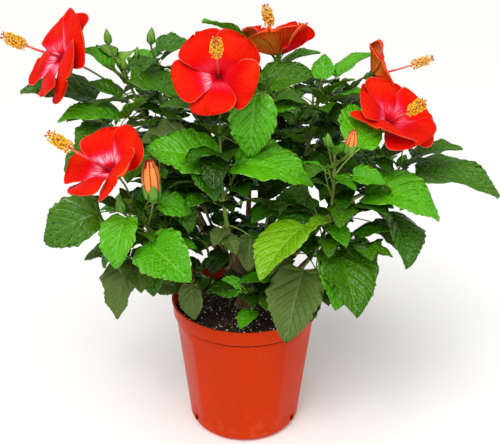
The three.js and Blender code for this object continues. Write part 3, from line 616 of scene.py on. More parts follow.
def leaf_on(curve, leaf, nudge):
    """The blade and petiole of a leaf on a shoot, nudged by a turn, a tip and a shrink."""
    turn, tip, shrink = nudge
    root = curve.point(leaf["share"])
    place = (root + level_way(leaf["heading"] + turn) * leaf["reach"] * shrink
             + UP * leaf["lift"] * shrink)
    way = level_way(leaf["heading"] + turn + leaf["swivel"])
    left = np.cross(UP, way)
    roll = math.radians(leaf["roll"])
    blade = Blade(
        place=place, heading=way,
        side=left * math.cos(roll) + UP * math.sin(roll),
        up=UP * math.cos(roll) - left * math.sin(roll),
        long=leaf["long"] * shrink, wide=leaf["long"] * shrink * LEAF_WIDE,
        rise=math.radians(leaf["rise"] + tip), droop=math.radians(leaf["droop"] + tip),
        fold=math.radians(LEAF_FOLD), lobe=LEAF_LOBE, outline=leaf_outline,
        rows=LEAF_ROWS, thick=LEAF_THICK,
    )
    bend = mix(root, place, 0.5) + UP * PETIOLE_ARCH * np.linalg.norm(root - place)
    return blade, Curve(root, bend, place)


def petiole_rings(blade, curve, extra=0.0):
    """A leaf's stalk with square ends, from the shoot to the blade."""
    side = blade.side.copy()
    rings = []
    for share in (1, 0):
        way = curve.way(share)
        side = unit(side - side.dot(way) * way)
        radius = mix(*PETIOLE_RADII, share) + extra
        rings.insert(0, ring(curve.point(share), side, np.cross(way, side), radius, 4))
    return rings


def bud_parts(curve, bud):
    """The stalk's curve, and the foot and way of a bud."""
    root, foot = curve.point(bud["share"]), np.array(bud["base"], float)
    way = unit(np.array(bud["lean"], float))
    bend = mix(root, foot, BUD_STALK_BEND) - way * BUD_STALK_STRAIGHT
    return Curve(root, bend, foot + way), foot, way


def petal_blades(bloom):
    """The blades of a bloom's petals, each rolled a little so that it laps over the next."""
    foot, way = np.array(bloom["calyx"], float), unit(np.array(bloom["facing"], float))
    size = bloom["size"]
    roll = math.radians(PETAL_ROLL)
    blades = []
    turns = [math.radians(bloom["turn"] + n * 360 / PETALS) for n in range(PETALS)]
    for heading in ways_round(way, turns):
        left = np.cross(way, heading)
        blades.append(Blade(
            place=foot + way * CLAW_FAR * size + heading * CLAW_OUT * size, heading=heading,
            side=left * math.cos(roll) + way * math.sin(roll),
            up=way * math.cos(roll) - left * math.sin(roll),
            long=PETAL_LONG * size, wide=PETAL_LONG * size * PETAL_WIDE,
            rise=math.radians(90 - bloom["open"][0]), droop=math.radians(90 - bloom["open"][1]),
            fold=math.radians(PETAL_FOLD), lobe=0, outline=petal_outline,
            rows=PETAL_ROWS, thick=PETAL_THICK,
        ))
    return blades


def bloom_parts(curve, bloom):
    """The pedicel's curve, the calyx's foot and way, and the column's curve of a bloom."""
    foot, way = np.array(bloom["calyx"], float), unit(np.array(bloom["facing"], float))
    size = bloom["size"]
    root = curve.point(bloom["share"])
    bend = foot - way * PEDICEL_STRAIGHT * np.linalg.norm(root - foot)
    throat, tip = foot + way * CLAW_FAR * size, np.array(bloom["tip"], float)
    sag = mix(throat, tip, 0.5) - UP * COLUMN_SAG * size
    return Curve(root, bend, foot + way * PEDICEL_SINK), foot, way, Curve(throat, sag, tip)


def column_radius(size):
    """The radius along a column, thick where its anthers stand."""
    def radius(share):
        brush = math.sin(math.pi * max(0, share - 1 + BRUSH_SHARE) / BRUSH_SHARE)
        return mix(*COLUMN_RADII, share) + BRUSH_RADIUS * size * max(0, brush)

    return radius


class Taken:
    """Everything that stands where it is set, as boxes and as trees of its faces."""

    def __init__(self):
        self.low, self.high, self.trees, self.kinds = [], [], [], []

    def take(self, shells, kind, mass=None):
        """Sets the shells down. kind is "blade" for what even its own mass keeps out of."""
        points, faces = joined(shells)
        self.low.append(points.min(axis=0))
        self.high.append(points.max(axis=0))
        self.trees.append(BVHTree.FromPolygons(points.tolist(), faces))
        self.kinds.append((kind, mass))

    def touches(self, rings, spare_mass=None):
        """Whether a solid meets anything taken. Of spare_mass only the blades count."""
        points, faces = loft(rings)
        low, high = points.min(axis=0), points.max(axis=0)
        near = np.all((np.array(self.low) <= high) & (np.array(self.high) >= low), axis=1)
        tree = None
        for n in np.flatnonzero(near):
            kind, mass = self.kinds[n]
            if spare_mass and mass == spare_mass and kind != "blade":
                continue
            tree = tree or BVHTree.FromPolygons(points.tolist(), faces)
            if tree.overlap(self.trees[n]):
                return True
        return False


def joined(shells):
    """The points and triangles of several shells as one."""
    points, faces, start = [], [], 0
    for corners, triangles in shells:
        points.append(corners)
        faces += [tuple(start + k for k in face) for face in triangles]
        start += len(corners)
    return np.vstack(points), faces


@functools.cache
def grow():
    """The whole plant: the curves of each mass, the leaves as (mass, blade, petiole, leaf), and
    all that is taken. The leaves seen in front grow first."""
    curves = {mass["name"]: shoot_curves(mass) for mass in MASSES}
    taken, leaves = Taken(), []
    taken.take([loft(pot_rings())], "limb")
    taken.take([loft(trunk_rings())], "limb")
    for bough in BOUGHS:
        rings = limb(bough_curve(bough), taper(BOUGH_RADII), BOUGH_STEPS, BOUGH_SIDES)
        taken.take([loft(rings)], "limb")
    for mass in MASSES:
        for n, curve in enumerate(curves[mass["name"]]):
            radii = taper(FORK_RADII if n else SHOOT_RADII)
            taken.take([loft(limb(curve, radii, SHOOT_STEPS, SHOOT_SIDES))], "limb", mass["name"])
    for bud in BUDS:
        stalk, foot, way = bud_parts(curves[bud["mass"]][bud["shoot"]], bud)
        profile = [(radius * bud["long"], far * bud["long"]) for radius, far in BUD_PROFILE]
        taken.take([
            loft(limb(stalk, lambda share: PEDICEL_RADIUS, PEDICEL_STEPS, PEDICEL_SIDES)),
            loft(turned(foot, way, profile, BUD_SIDES)),
        ], "bud", bud["mass"])
    for bloom in BLOOMS:
        pedicel, foot, way, column = bloom_parts(curves[bloom["mass"]][bloom["shoot"]], bloom)
        size = bloom["size"]
        taken.take([
            loft(limb(pedicel, lambda share: PEDICEL_RADIUS, PEDICEL_STEPS, PEDICEL_SIDES)),
            loft(turned(foot, way, [(r * size, far * size) for r, far in CALYX_PROFILE], CALYX_SIDES)),
            *[loft(blade.rings()) for blade in petal_blades(bloom)],
            loft(limb(column, column_radius(size), COLUMN_STEPS, COLUMN_SIDES)),
        ], "bloom")

    def grow_leaf(mass, curve, leaf):
        for nudge in NUDGES:
            blade, petiole = leaf_on(curve, leaf, nudge)
            if taken.touches(blade.rings(CLEARANCE)):
                continue
            if taken.touches(petiole_rings(blade, petiole, CLEARANCE), mass):
                continue
            taken.take([loft(blade.rings())], "blade", mass)
            taken.take([loft(petiole_rings(blade, petiole))], "petiole", mass)
            leaves.append((mass, blade, petiole, leaf))
            return

    for mass in MASSES:
        for curve, shoot in zip(curves[mass["name"]], mass["shoots"]):
            for leaf in table(LEAF, *shoot["show"]):
                grow_leaf(mass["name"], curve, {**leaf, "droop": leaf["rise"] - leaf["arch"]})
    for mass in MASSES:
        random = seeded_numbers(mass["seed"])
        for curve, shoot in zip(curves[mass["name"]], mass["shoots"]):
            for leaf in rule_leaves(shoot, random):
                grow_leaf(mass["name"], curve, leaf)
    return curves, leaves, taken


def linear(code):
    """A colour written as 0xRRGGBB, in the linear numbers that a shader takes."""
    parts = [((code >> shift) & 255) / 255 for shift in (16, 8, 0)]
    return tuple(c / 12.92 if c <= 0.04045 else ((c + 0.055) / 1.055) ** 2.4 for c in parts)


class Heap:
    """The points and triangles of one piece while it is put together, in millimetres."""

    def __init__(self):
        self.points, self.faces, self.slots, self.places, self.start = [], [], [], [], 0

    def add(self, points, faces, slot=0, places=None):
        """slot is one number or one for each face, places the pattern's place of each point."""
        points, faces = np.asarray(points, float), np.asarray(faces, int)
        self.points.append(points)
        self.faces.append(faces + self.start)
        self.slots.append(np.full(len(faces), slot) if np.isscalar(slot) else np.asarray(slot))
        self.places.append(np.zeros((len(points), 2)) if places is None else places)
        self.start += len(points)

    def mesh(self, name, materials, pattern=None):
        """A mesh in metres. It holds only the materials that its faces use."""
        points, faces = np.vstack(self.points) / PER_METRE, np.vstack(self.faces)
        used, slots = np.unique(np.concatenate(self.slots), return_inverse=True)
        mesh = bpy.data.meshes.new(name)
        mesh.vertices.add(len(points))
        mesh.vertices.foreach_set("co", points.ravel())
        mesh.loops.add(faces.size)
        mesh.loops.foreach_set("vertex_index", faces.ravel())
        mesh.polygons.add(len(faces))
        mesh.polygons.foreach_set("loop_start", np.arange(0, faces.size, 3))
        for slot in used if materials else ():
            mesh.materials.append(materials[slot])
        mesh.polygons.foreach_set("material_index", slots)
        mesh.update(calc_edges=True)
        mesh.shade_smooth()
        if pattern:
            layer = mesh.uv_layers.new(name=pattern)
            layer.uv.foreach_set("vector", np.vstack(self.places)[faces.ravel()].ravel())
        mesh.validate()
        return mesh


def add_object(name, data):
    """A new object of the data, in the scene."""
    thing = bpy.data.objects.new(name, data)
    bpy.context.scene.collection.objects.link(thing)
    return thing


def plain_mesh(thing, tool):
    """The mesh of an object with its modifiers set. The object and its tool are removed."""
    seen = thing.evaluated_get(bpy.context.evaluated_depsgraph_get())
    mesh = bpy.data.meshes.new_from_object(seen)
    for spent in (thing, tool):
        bpy.data.objects.remove(spent)
    return mesh


def place_piece(name, mesh, nodes):
    """Puts a finished mesh in the scene as a piece that stands for its nodes."""
    piece = add_object(name, mesh)
    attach(piece, "root")
    if nodes:
        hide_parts(*nodes)


def add_rings(heap, rings, slot=0):
    """Adds a tube of rings that all have as many corners."""
    heap.add(np.vstack(rings), tube_faces(len(rings), len(rings[0])), slot)


def tube_faces(rows, sides):
    """Triangles of a tube of rings, with a fan at each end."""
    faces = []
    for r in range(rows - 1):
        for j in range(sides):
            a, b = r * sides + j, r * sides + (j + 1) % sides
            faces += [(a, b, b + sides), (a, b + sides, a + sides)]
    last = (rows - 1) * sides
    for j in range(1, sides - 1):
        faces += [(0, j + 1, j), (last, last + j, last + j + 1)]
    return faces


def add_tube(heap, curve, radius_at, steps, sides, slot=0):
    add_rings(heap, limb(curve, radius_at, steps, sides), slot)


def add_turned(heap, start, way, profile, sides, slot):
    add_rings(heap, turned(start, way, profile, sides), slot)


class BladeGrid:
    """The grid that every blade of one kind shares: rows that follow its veins and columns on
    both sides of the rib. Its upper and under sheets meet at the margin, the base and the tip."""

    def __init__(self, lines, cuts, columns, vein_reach):
        rows = [row for n, (near, far) in enumerate(zip(lines, lines[1:]))
                for row in self.between(near, far, cuts, n == 0, n == len(lines) - 2)]
        count, wide = len(rows), len(columns)
        across = np.tile(columns, count)
        side = np.abs(across)
        start, end = (np.repeat([row[k] for row in rows], wide) for k in (0, 1))
        self.v = np.concatenate([across, [0, 0]])
        self.u = np.concatenate([start + (end - start) * side ** VEIN_ARCH, [0, 1]])
        self.bulge = np.concatenate([np.repeat([row[2] for row in rows], wide), [0, 0]])
        base, tip = count * wide, count * wide + 1
        self.margin = np.concatenate([side == 1, [True, True]])
        self.inner = np.flatnonzero(~self.margin)
        under_of = np.arange(tip + 1)
        under_of[self.inner] = tip + 1 + np.arange(len(self.inner))
        ribs = [abs(a + b) < 1e-9 for a, b in zip(columns, columns[1:])]
        faces, veins = [], []
        for r in range(count - 1):
            for c in range(wide - 1):
                a, b = r * wide + c, r * wide + c + 1
                faces += [(a, a + wide, b + wide), (a, b + wide, b)]
                near, far = sorted((abs(columns[c]), abs(columns[c + 1])))
                strip = rows[r][3] and far <= vein_reach
                veins += [ribs[c] or strip or near > MARGIN_FROM] * 2
        for c in range(wide - 1):
            faces += [(base, c, c + 1), (tip, base - wide + c + 1, base - wide + c)]
            veins += [ribs[c]] * 2
        upper = np.array(faces)
        self.faces = np.vstack([upper, under_of[upper[:, ::-1]]])
        self.veins = np.array(veins + veins)
        self.upper = np.arange(len(self.faces)) < len(upper)

    @staticmethod
    def between(near, far, cuts, first, last):
        """Rows (start, end, bulge, whether the strip after it is a vein) between two veins."""
        shares = cuts[1:] if first else cuts[:-1] if last else cuts
        return [(mix(near[0], far[0], s), mix(near[1], far[1], s), math.sin(math.pi * s),
                 s == cuts[-1]) for s in shares]


# Where each vein leaves the rib and where it meets the margin, as shares of the blade's length
LEAF_VEINS = [(0, 0), (0.012, 0.10), (0.03, 0.44), (0.19, 0.62), (0.35, 0.75), (0.51, 0.855),
              (0.67, 0.93), (0.83, 0.975), (1, 1)]
LEAF_CUTS = (0.05, 0.28, 0.5, 0.72, 0.95)
LEAF_COLUMNS = (-1, -0.94, -0.66, -0.4, -0.18, -0.03, 0.03, 0.18, 0.4, 0.66, 0.94, 1)
# A coarser grid for the leaves of the fine twigs
SMALL_CUTS = (0.06, 0.5, 0.94)
SMALL_COLUMNS = (-1, -0.62, -0.04, 0.04, 0.62, 1)
SMALL_REACH = 0.63
# How a vein bends on its way out, where the margin's strip starts, which bulges lie in a furrow,
# and the rib's half width
VEIN_ARCH = 0.9
MARGIN_FROM = 0.9
FURROW_BELOW = 0.3
RIB_HALF = 0.03


@functools.cache
def leaf_grid(fine):
    if fine:
        return BladeGrid(LEAF_VEINS, LEAF_CUTS, LEAF_COLUMNS, 1)
    return BladeGrid(LEAF_VEINS, SMALL_CUTS, SMALL_COLUMNS, SMALL_REACH)


def with_under_side(points, normal, thick, grid):
    """The points with those of the under side, which is thick away and shares the margin."""
    return np.vstack([points, (points - normal * thick)[grid.inner]])


def leaf_surface(blade, look, random, grid):
    """The points of a leaf: quilted between its veins, toothed and waved at its margin."""
    size = blade.long / LEAF_LONG
    teeth = (0.75 * np.cos(4 * np.arcsin(grid.bulge)) - 0.5 * grid.bulge
             + (random.random(len(grid.u)) - 0.5) * 0.6)
    teeth = np.where(grid.margin, teeth, 0) * smooth(0.08, 0.3, grid.u) * (grid.u < 0.985)
    v = grid.v * (1 + look["tooth"] * teeth)
    u = np.clip(grid.u + 0.01 * np.abs(teeth), 0, 1)
    lobe, blade.lobe = blade.lobe, 0
    points = blade.point(u, v)
    blade.lobe = lobe
    _, forward, normal = blade.frame(u)
    back = lobe * blade.long * v * v * (1 - u) ** 2 * smooth(0, 0.06, u)
    points -= forward * back[:, None]
    side = np.abs(grid.v)
    hill = grid.bulge * np.sin(np.pi * np.clip((side - RIB_HALF) / (1 - RIB_HALF), 0, 1) ** 0.7) ** 0.7
    crinkle = (random.random(len(u)) - 0.5) * look["crinkle"] * (grid.bulge > FURROW_BELOW)
    phase, waves = random.random(2) * 2 * np.pi, random.integers(2, 4)
    wave = np.sin(2 * np.pi * waves * u + np.where(grid.v > 0, *phase)) * side ** 2 * (1 - u) * 4 * u
    furrow = grid.bulge < FURROW_BELOW
    lift = size * (look["quilt"] * hill - look["furrow"] * furrow * (side < MARGIN_FROM)
                   + crinkle * hill + look["wave"] * wave)
    curl = look["curl"] * size * (random.random() - 0.3) * side ** 3 * smooth(0.3, 0.9, u)
    sway = (random.random() - 0.5) * 0.06 * blade.long * u ** 2
    points += normal * (lift + curl)[:, None] + blade.side * sway[:, None]
    thick = look["thick"] * (1 + 1.2 * (furrow | (side < 0.1)))
    return with_under_side(points, normal, thick[:, None], grid)


# Plain colours of each kind of leaf: upper side, veins, and under side
LEAF_COLOURS = {
    YOUNG: (0x66A20A, 0xA4CC48, 0x7C9E20),
    FRESH: (0x4AA005, 0x7CB82E, 0x6A9E18),
    MATURE: (0x386C06, 0x5A8A20, 0x5A7A18),
    OLD: (0x4A6425, 0x687E44, 0x647238),
}
LEAF_ROUGHNESS = {YOUNG: 0.28, FRESH: 0.19, MATURE: 0.19, OLD: 0.42}
# The first tint is painted shade for the leaves deep inside the shrub, and the last one is warmer too
LEAF_TINTS = (0.42, 0.78, 1.0, 1.12)
WARM = np.array([1.12, 1.0, 0.9])
PUCKER = {YOUNG: 1.0, FRESH: 1.0, MATURE: 1.0, OLD: 0.45}
# Which masses are joined into each piece of leaves
LEAF_GROUPS = {
    "leaves_left": ("foliage_left", "foliage_upper_left"),
    "leaves_front": (
        "foliage_front", "foliage_inner_left", "foliage_inner_right", "foliage_low_front",
    ),
    "leaves_right": ("foliage_right", "foliage_far_right", "foliage_upper_right"),
    "leaves_back": ("foliage_back", "foliage_back_left", "foliage_back_right", "foliage_low_back"),
}


def plain(name, colour, roughness):
    """A material of one colour."""
    material = bpy.data.materials.new(name)
    material.use_nodes = True
    shader = material.node_tree.nodes["Principled BSDF"]
    shader.inputs["Base Color"].default_value = (*colour, 1)
    shader.inputs["Roughness"].default_value = roughness
    return material


def plains(*rows):
    """Plain materials, from rows of name, colour as 0xRRGGBB and roughness."""
    return [plain(name, linear(code), roughness) for name, code, roughness in rows]


@functools.cache
def leaf_materials():
    """Three for each kind and tint: upper side, veins and under side."""
    materials = []
    for kind, name in ((YOUNG, "young"), (FRESH, "fresh"), (MATURE, "mature"), (OLD, "old")):
        upper, vein, under = (np.array(linear(code)) for code in LEAF_COLOURS[kind])
        rough = LEAF_ROUGHNESS[kind]
        # Tint 0 makes the materials of painted shade for the leaves in the shrub's middle
        for n, tint in enumerate(LEAF_TINTS):
            warm = WARM if tint > 1 else np.ones(3)
            materials += [
                leaf_skin(f"leaf_{name}_{n}", upper * tint * warm, rough, PUCKER[kind]),
                plain(f"vein_{name}_{n}", mix(upper, vein, 0.5) * tint, rough + 0.1),
                leaf_skin(f"underside_{name}_{n}", under * tint, 0.6, 0.5),
            ]
    return materials


# A leaf that grew by rule is old or mature below this height, in millimetres. Above it, it is fresh
# or mature, or young near a shoot's tip. The shares are how often
LOW_LEAVES = 340
OLD_SHARE = 0.45
YOUNG_FROM = 0.8
YOUNG_SHARE = 0.12
FRESH_SHARE = 0.42
TWIG_YOUNG_SHARE = 0.06
TWIG_FRESH_SHARE = 0.35


def leaf_kind(leaf, height, random):
    """A leaf that grew by rule takes its kind from its height and its place on the shoot."""
    if leaf["kind"] is not None:
        return leaf["kind"]
    chance = random.random()
    if height < LOW_LEAVES:
        return OLD if chance < OLD_SHARE else MATURE
    if leaf["share"] > YOUNG_FROM and chance < YOUNG_SHARE:
        return YOUNG
    return FRESH if chance < FRESH_SHARE else MATURE


def twig_leaf_kind(random):
    if random.random() < TWIG_YOUNG_SHARE:
        return YOUNG
    return FRESH if random.random() < TWIG_FRESH_SHARE else MATURE


# A leaf's fine form in each kind, in millimetres on a leaf of the usual length. tooth is a share
# of its half width
LEAF_LOOKS = {
    YOUNG: dict(quilt=1.7, furrow=0.6, crinkle=1.1, wave=2.6, curl=4, tooth=0.06, thick=0.35),
    FRESH: dict(quilt=3.1, furrow=0.9, crinkle=1.9, wave=3.4, curl=5, tooth=0.07, thick=0.4),
    MATURE: dict(quilt=3.2, furrow=1.0, crinkle=1.9, wave=4.0, curl=6, tooth=0.075, thick=0.4),
    OLD: dict(quilt=2.9, furrow=0.9, crinkle=1.8, wave=4.6, curl=6, tooth=0.06, thick=0.4),
}


class Wire:
    """A number that changes over a surface. Python's operators extend it with Math nodes."""

    def __init__(self, graph, socket):
        self.graph, self.socket = graph, socket

    def math(self, operation, *others):
        node = self.graph.node("ShaderNodeMath", {"operation": operation}, {})
        for place, value in zip(node.inputs, others):
            self.graph.join(place, value)
        return Wire(self.graph, node.outputs[0])

    def __add__(self, other):
        return self.math("ADD", self, other)

    __radd__ = __add__

    def __sub__(self, other):
        return self.math("SUBTRACT", self, other)

    def __rsub__(self, other):
        return self.math("SUBTRACT", other, self)

    def __mul__(self, other):
        return self.math("MULTIPLY", self, other)

    __rmul__ = __mul__

    def size(self):
        return self.math("ABSOLUTE", self)

    def step(self, low, high):
        """0 below low and 1 above high, with an even rise between them."""
        node = self.graph.node(
            "ShaderNodeMapRange", {"interpolation_type": "SMOOTHSTEP"},
            {"Value": self, "From Min": low, "From Max": high},
        )
        return Wire(self.graph, node.outputs["Result"])


class Graph:
    """One patterned material. Every node but the Math nodes comes from its node method."""

    def __init__(self, name, roughness, shine=0.5):
        self.material = bpy.data.materials.new(name)
        self.material.use_nodes = True
        self.tree = self.material.node_tree
        self.shader = self.tree.nodes["Principled BSDF"]
        self.shader.inputs["Roughness"].default_value = roughness
        self.shader.inputs["Specular IOR Level"].default_value = shine

    def join(self, socket, value):
        """Links the value to the socket, or sets the socket to it."""
        if isinstance(value, Wire):
            value = value.socket
        if isinstance(value, bpy.types.NodeSocket):
            self.tree.links.new(value, socket)
        elif value is not None:
            socket.default_value = value

    def node(self, kind, settings, sockets):
        node = self.tree.nodes.new(kind)
        for key, value in settings.items():
            setattr(node, key, value)
        for key, value in sockets.items():
            self.join(next(s for s in node.inputs if s.name == key and s.enabled), value)
        return node

    def place(self, stretch=(1, 1, 1)):
        """Where a point of the piece lies, in metres, stretched along each axis."""
        where = self.node("ShaderNodeTexCoord", {}, {}).outputs["Object"]
        return self.node("ShaderNodeMapping", {}, {"Vector": where, "Scale": stretch}).outputs["Vector"]

    def pattern(self, name):
        """The two numbers of a piece's own pattern, along it and across it."""
        where = self.node("ShaderNodeUVMap", {"uv_map": name}, {}).outputs["UV"]
        parts = self.node("ShaderNodeSeparateXYZ", {}, {"Vector": where})
        return where, Wire(self, parts.outputs["X"]), Wire(self, parts.outputs["Y"])

    def noise(self, vector, scale, detail=3.0, roughness=0.5):
        node = self.node("ShaderNodeTexNoise", {}, {
            "Vector": vector, "Scale": scale, "Detail": detail, "Roughness": roughness,
        })
        return Wire(self, node.outputs["Fac"])

    def blend(self, share, low, high):
        """A colour between two colours."""
        low, high = ((*c, 1) if isinstance(c, tuple) and len(c) == 3 else c for c in (low, high))
        node = self.node("ShaderNodeMix", {"data_type": "RGBA"}, {"Factor": share, "A": low, "B": high})
        return next(s for s in node.outputs if s.name == "Result" and s.enabled)

    def bump(self, height, strength, distance):
        node = self.node("ShaderNodeBump", {}, {
            "Height": height, "Strength": strength, "Distance": distance,
        })
        self.join(self.shader.inputs["Normal"], node.outputs["Normal"])

    def finish(self, colour, roughness=None):
        """The material, once its colour and what else changes over it are joined."""
        self.join(self.shader.inputs["Base Color"], colour)
        self.join(self.shader.inputs["Roughness"], roughness)
        return self.material


def leaf_skin(name, colour, roughness, pucker):
    """One green, puckered in the fine net between the veins and glossy on the puckers."""
    graph = Graph(name, roughness, shine=0.27)
    net = graph.node("ShaderNodeTexVoronoi", {"feature": "SMOOTH_F1"}, {
        "Vector": graph.place(), "Scale": 165.0, "Smoothness": 0.3, "Randomness": 0.85,
    })
    domes = 1 - Wire(graph, net.outputs["Distance"]).step(0.05, 0.75)
    patch = graph.noise(graph.place(), 38, 2).step(0.35, 0.65)
    graph.bump(domes * (patch * 0.6 + 0.4), 0.85 * pucker, 0.0028)
    return graph.finish((*colour, 1), roughness + (1 - patch) * 0.12)


# Height, in metres, of the dark line of painted shade under the rim band
GROOVE_HEIGHT = 0.2134


def pot_plastic(settings):
    """Glossy orange-red plastic with a dark line of painted shade under the rim band, faint scuffs,
    and dust towards the foot. Heights are in metres."""
    graph = Graph("pot_plastic", 0.34, shine=0.06)
    parts = graph.node("ShaderNodeSeparateXYZ", {}, {"Vector": graph.place()})
    height = Wire(graph, parts.outputs["Z"])
    cloud = graph.noise(graph.place((1, 1, 0.5)), 9, 4)
    scuff = graph.noise(graph.place((1, 1, 0.15)), 140, 3, 0.6).step(0.62, 0.78)
    colour = graph.blend(cloud, tuple(settings.pot_dark), tuple(settings.pot_colour))
    # Painted shade: a dark line just under the rim band's lip, where the band shades the wall
    groove_shade = 1 - (height - GROOVE_HEIGHT).size().step(0.001, 0.0026)
    colour = graph.blend(groove_shade, colour, linear(0x4A1408))
    dust = (1 - height.step(0.0, 0.09)) * graph.noise(graph.place(), 55, 4).step(0.45, 0.75)
    colour = graph.blend(scuff * 0.06 + dust * 0.15, colour, linear(0xE08A66))
    graph.bump(graph.noise(graph.place(), 260, 2), 0.05, 0.001)
    return graph.finish(colour, 0.3 + scuff * 0.15 + dust * 0.3)


def soil_mix():
    """Moist peat, dark, with brown fibres."""
    graph = Graph("potting_mix", 0.9)
    grain = graph.noise(graph.place(), 420, 5, 0.7)
    colour = graph.blend(grain.step(0.3, 0.75), linear(0x120C09), linear(0x4A3222))
    patch = graph.noise(graph.place(), 30, 3).step(0.5, 0.7)
    colour = graph.blend(patch * 0.4, colour, linear(0x5E4026))
    graph.bump(graph.noise(graph.place(), 600, 4), 0.6, 0.002)
    return graph.finish(colour, 0.8 + grain * 0.2)


def bark():
    """Grey-brown bark with pale pores and darker furrows along the limb."""
    graph = Graph("bark", 0.85)
    furrow = graph.noise(graph.place((1, 1, 0.22)), 240, 5, 0.65)
    cloud = graph.noise(graph.place(), 34, 3)
    colour = graph.blend(furrow.step(0.32, 0.68), linear(0x4E3322), linear(0x9A7650))
    colour = graph.blend(cloud.step(0.45, 0.7) * 0.5, colour, linear(0x8C8468))
    pores = graph.noise(graph.place(), 520, 1).step(0.68, 0.76)
    colour = graph.blend(pores * 0.7, colour, linear(0xC2AE8C))
    graph.bump(furrow, 0.5, 0.0015)
    return graph.finish(colour, 0.95 - furrow * 0.2)


def petal_graph(name, roughness, shine, stretch, scale):
    """The start of a petal's material: its graph, how far along and across the petal a point
    lies, and rays that run out from the foot."""
    graph = Graph(name, roughness, shine)
    where, along, across = graph.pattern("petal")
    ribs = graph.node("ShaderNodeMapping", {}, {"Vector": where, "Scale": stretch}).outputs["Vector"]
    return graph, along, across * 2 - 1, graph.noise(ribs, scale, 3, 0.6)


def petal_inside(settings):
    """Red petals with a crimson throat, a pink blaze in streaks, orange and a pale edge."""
    graph, along, across, rays = petal_graph("petal_inside", 0.5, 0.04, (1.2, 26, 1), 2.2)
    blaze = graph.node("ShaderNodeAttribute", {"attribute_name": "blaze"}, {}).outputs["Fac"]
    blaze = Wire(graph, blaze)
    cloud = graph.noise(graph.place(), 26, 3)
    orange = along.step(0.35, 1.0) * 0.25 + cloud.step(0.45, 0.68) * 0.25
    colour = graph.blend(orange, tuple(settings.petal_colour), tuple(settings.petal_orange))
    colour = graph.blend(rays.step(0.48, 0.66) * 0.5, colour, linear(0xA00202))
    streak = along.step(0.08, 0.22) * (1 - along.step(0.26, 0.52)) * rays.step(0.38, 0.64) * blaze
    colour = graph.blend(streak, colour, linear(0xF23C86))
    white = along.step(0.14, 0.22) * (1 - along.step(0.25, 0.42)) * rays.step(0.44, 0.6) * blaze
    colour = graph.blend(white * blaze * 0.9, colour, linear(0xFBD3E0))
    colour = graph.blend(1 - along.step(0.04, 0.2), colour, tuple(settings.throat_colour))
    edge = across.size().step(0.95, 1.0) * along.step(0.3, 0.5)
    colour = graph.blend(edge * 0.5, colour, linear(0xF09078))
    graph.bump(rays, 0.35, 0.001)
    return graph.finish(colour)


def petal_outside():
    """The petals' backs: lighter, with yellow-orange streaks up from the cup."""
    graph, along, across, rays = petal_graph("petal_outside", 0.6, 0.08, (0.8, 18, 1), 2.0)
    colour = graph.blend(rays.step(0.35, 0.7), linear(0xF0380C), linear(0xFF7A2C))
    band = (across + along * 0.5 - 0.1).size().step(0.5, 0.12)
    yellow = (1 - along.step(0.5, 0.95)) * (band * 0.65 + rays.step(0.4, 0.6) * 0.3)
    colour = graph.blend(yellow, colour, linear(0xF6B034))
    colour = graph.blend(across.size().step(0.96, 1.0) * 0.5, colour, linear(0xF4A080))
    graph.bump(rays, 0.3, 0.001)
    return graph.finish(colour)


# Bark
BARK_WAVES = 9
BARK_FINE = 0.5
BARK_GRAIN = np.array([1, 1, 0.3])


def relief(points, outward, seed, deep):
    """Pushes points out and in along outward by a seeded grain of bark."""
    random = np.random.default_rng(seed)
    height = np.zeros(len(points))
    for n in range(BARK_WAVES):
        wave = random.normal(size=3) * BARK_FINE * (1 + n * 0.5) * BARK_GRAIN
        height += np.sin(points @ wave + random.random() * 7) / (1 + n * 0.4)
    return points + outward * (deep * height / 3)[:, None]


def add_bark_limb(heap, curve, radius_at, steps, sides, seed, deep):
    """Adds a limb whose surface has the relief of bark."""
    rings = np.array(limb(curve, radius_at, steps, sides))
    middles = rings.mean(axis=1, keepdims=True)
    outward = (rings - middles) / np.linalg.norm(rings - middles, axis=2, keepdims=True)
    points = relief(rings.reshape(-1, 3), outward.reshape(-1, 3), seed, deep)
    heap.add(points, tube_faces(len(rings), sides))


def knots(curve, shares, wide, high):
    """How much a limb swells at its joints."""
    spots = np.array(shares)

    def swell(share):
        return high * np.exp(-((share - spots) * curve.long() / wide) ** 2).sum()

    return swell


def trunk_line():
    """The trunk's middle line, from a little under the soil."""
    foot, top = trunk_middle(SOIL_TOP - TRUNK_SINK), trunk_middle(TRUNK_TOP)
    return Curve(foot, mix(foot, top, 0.5), top)


def trunk_radius(share):
    return float(np.interp(share, TRUNK_STEPS, TRUNK_RADII))


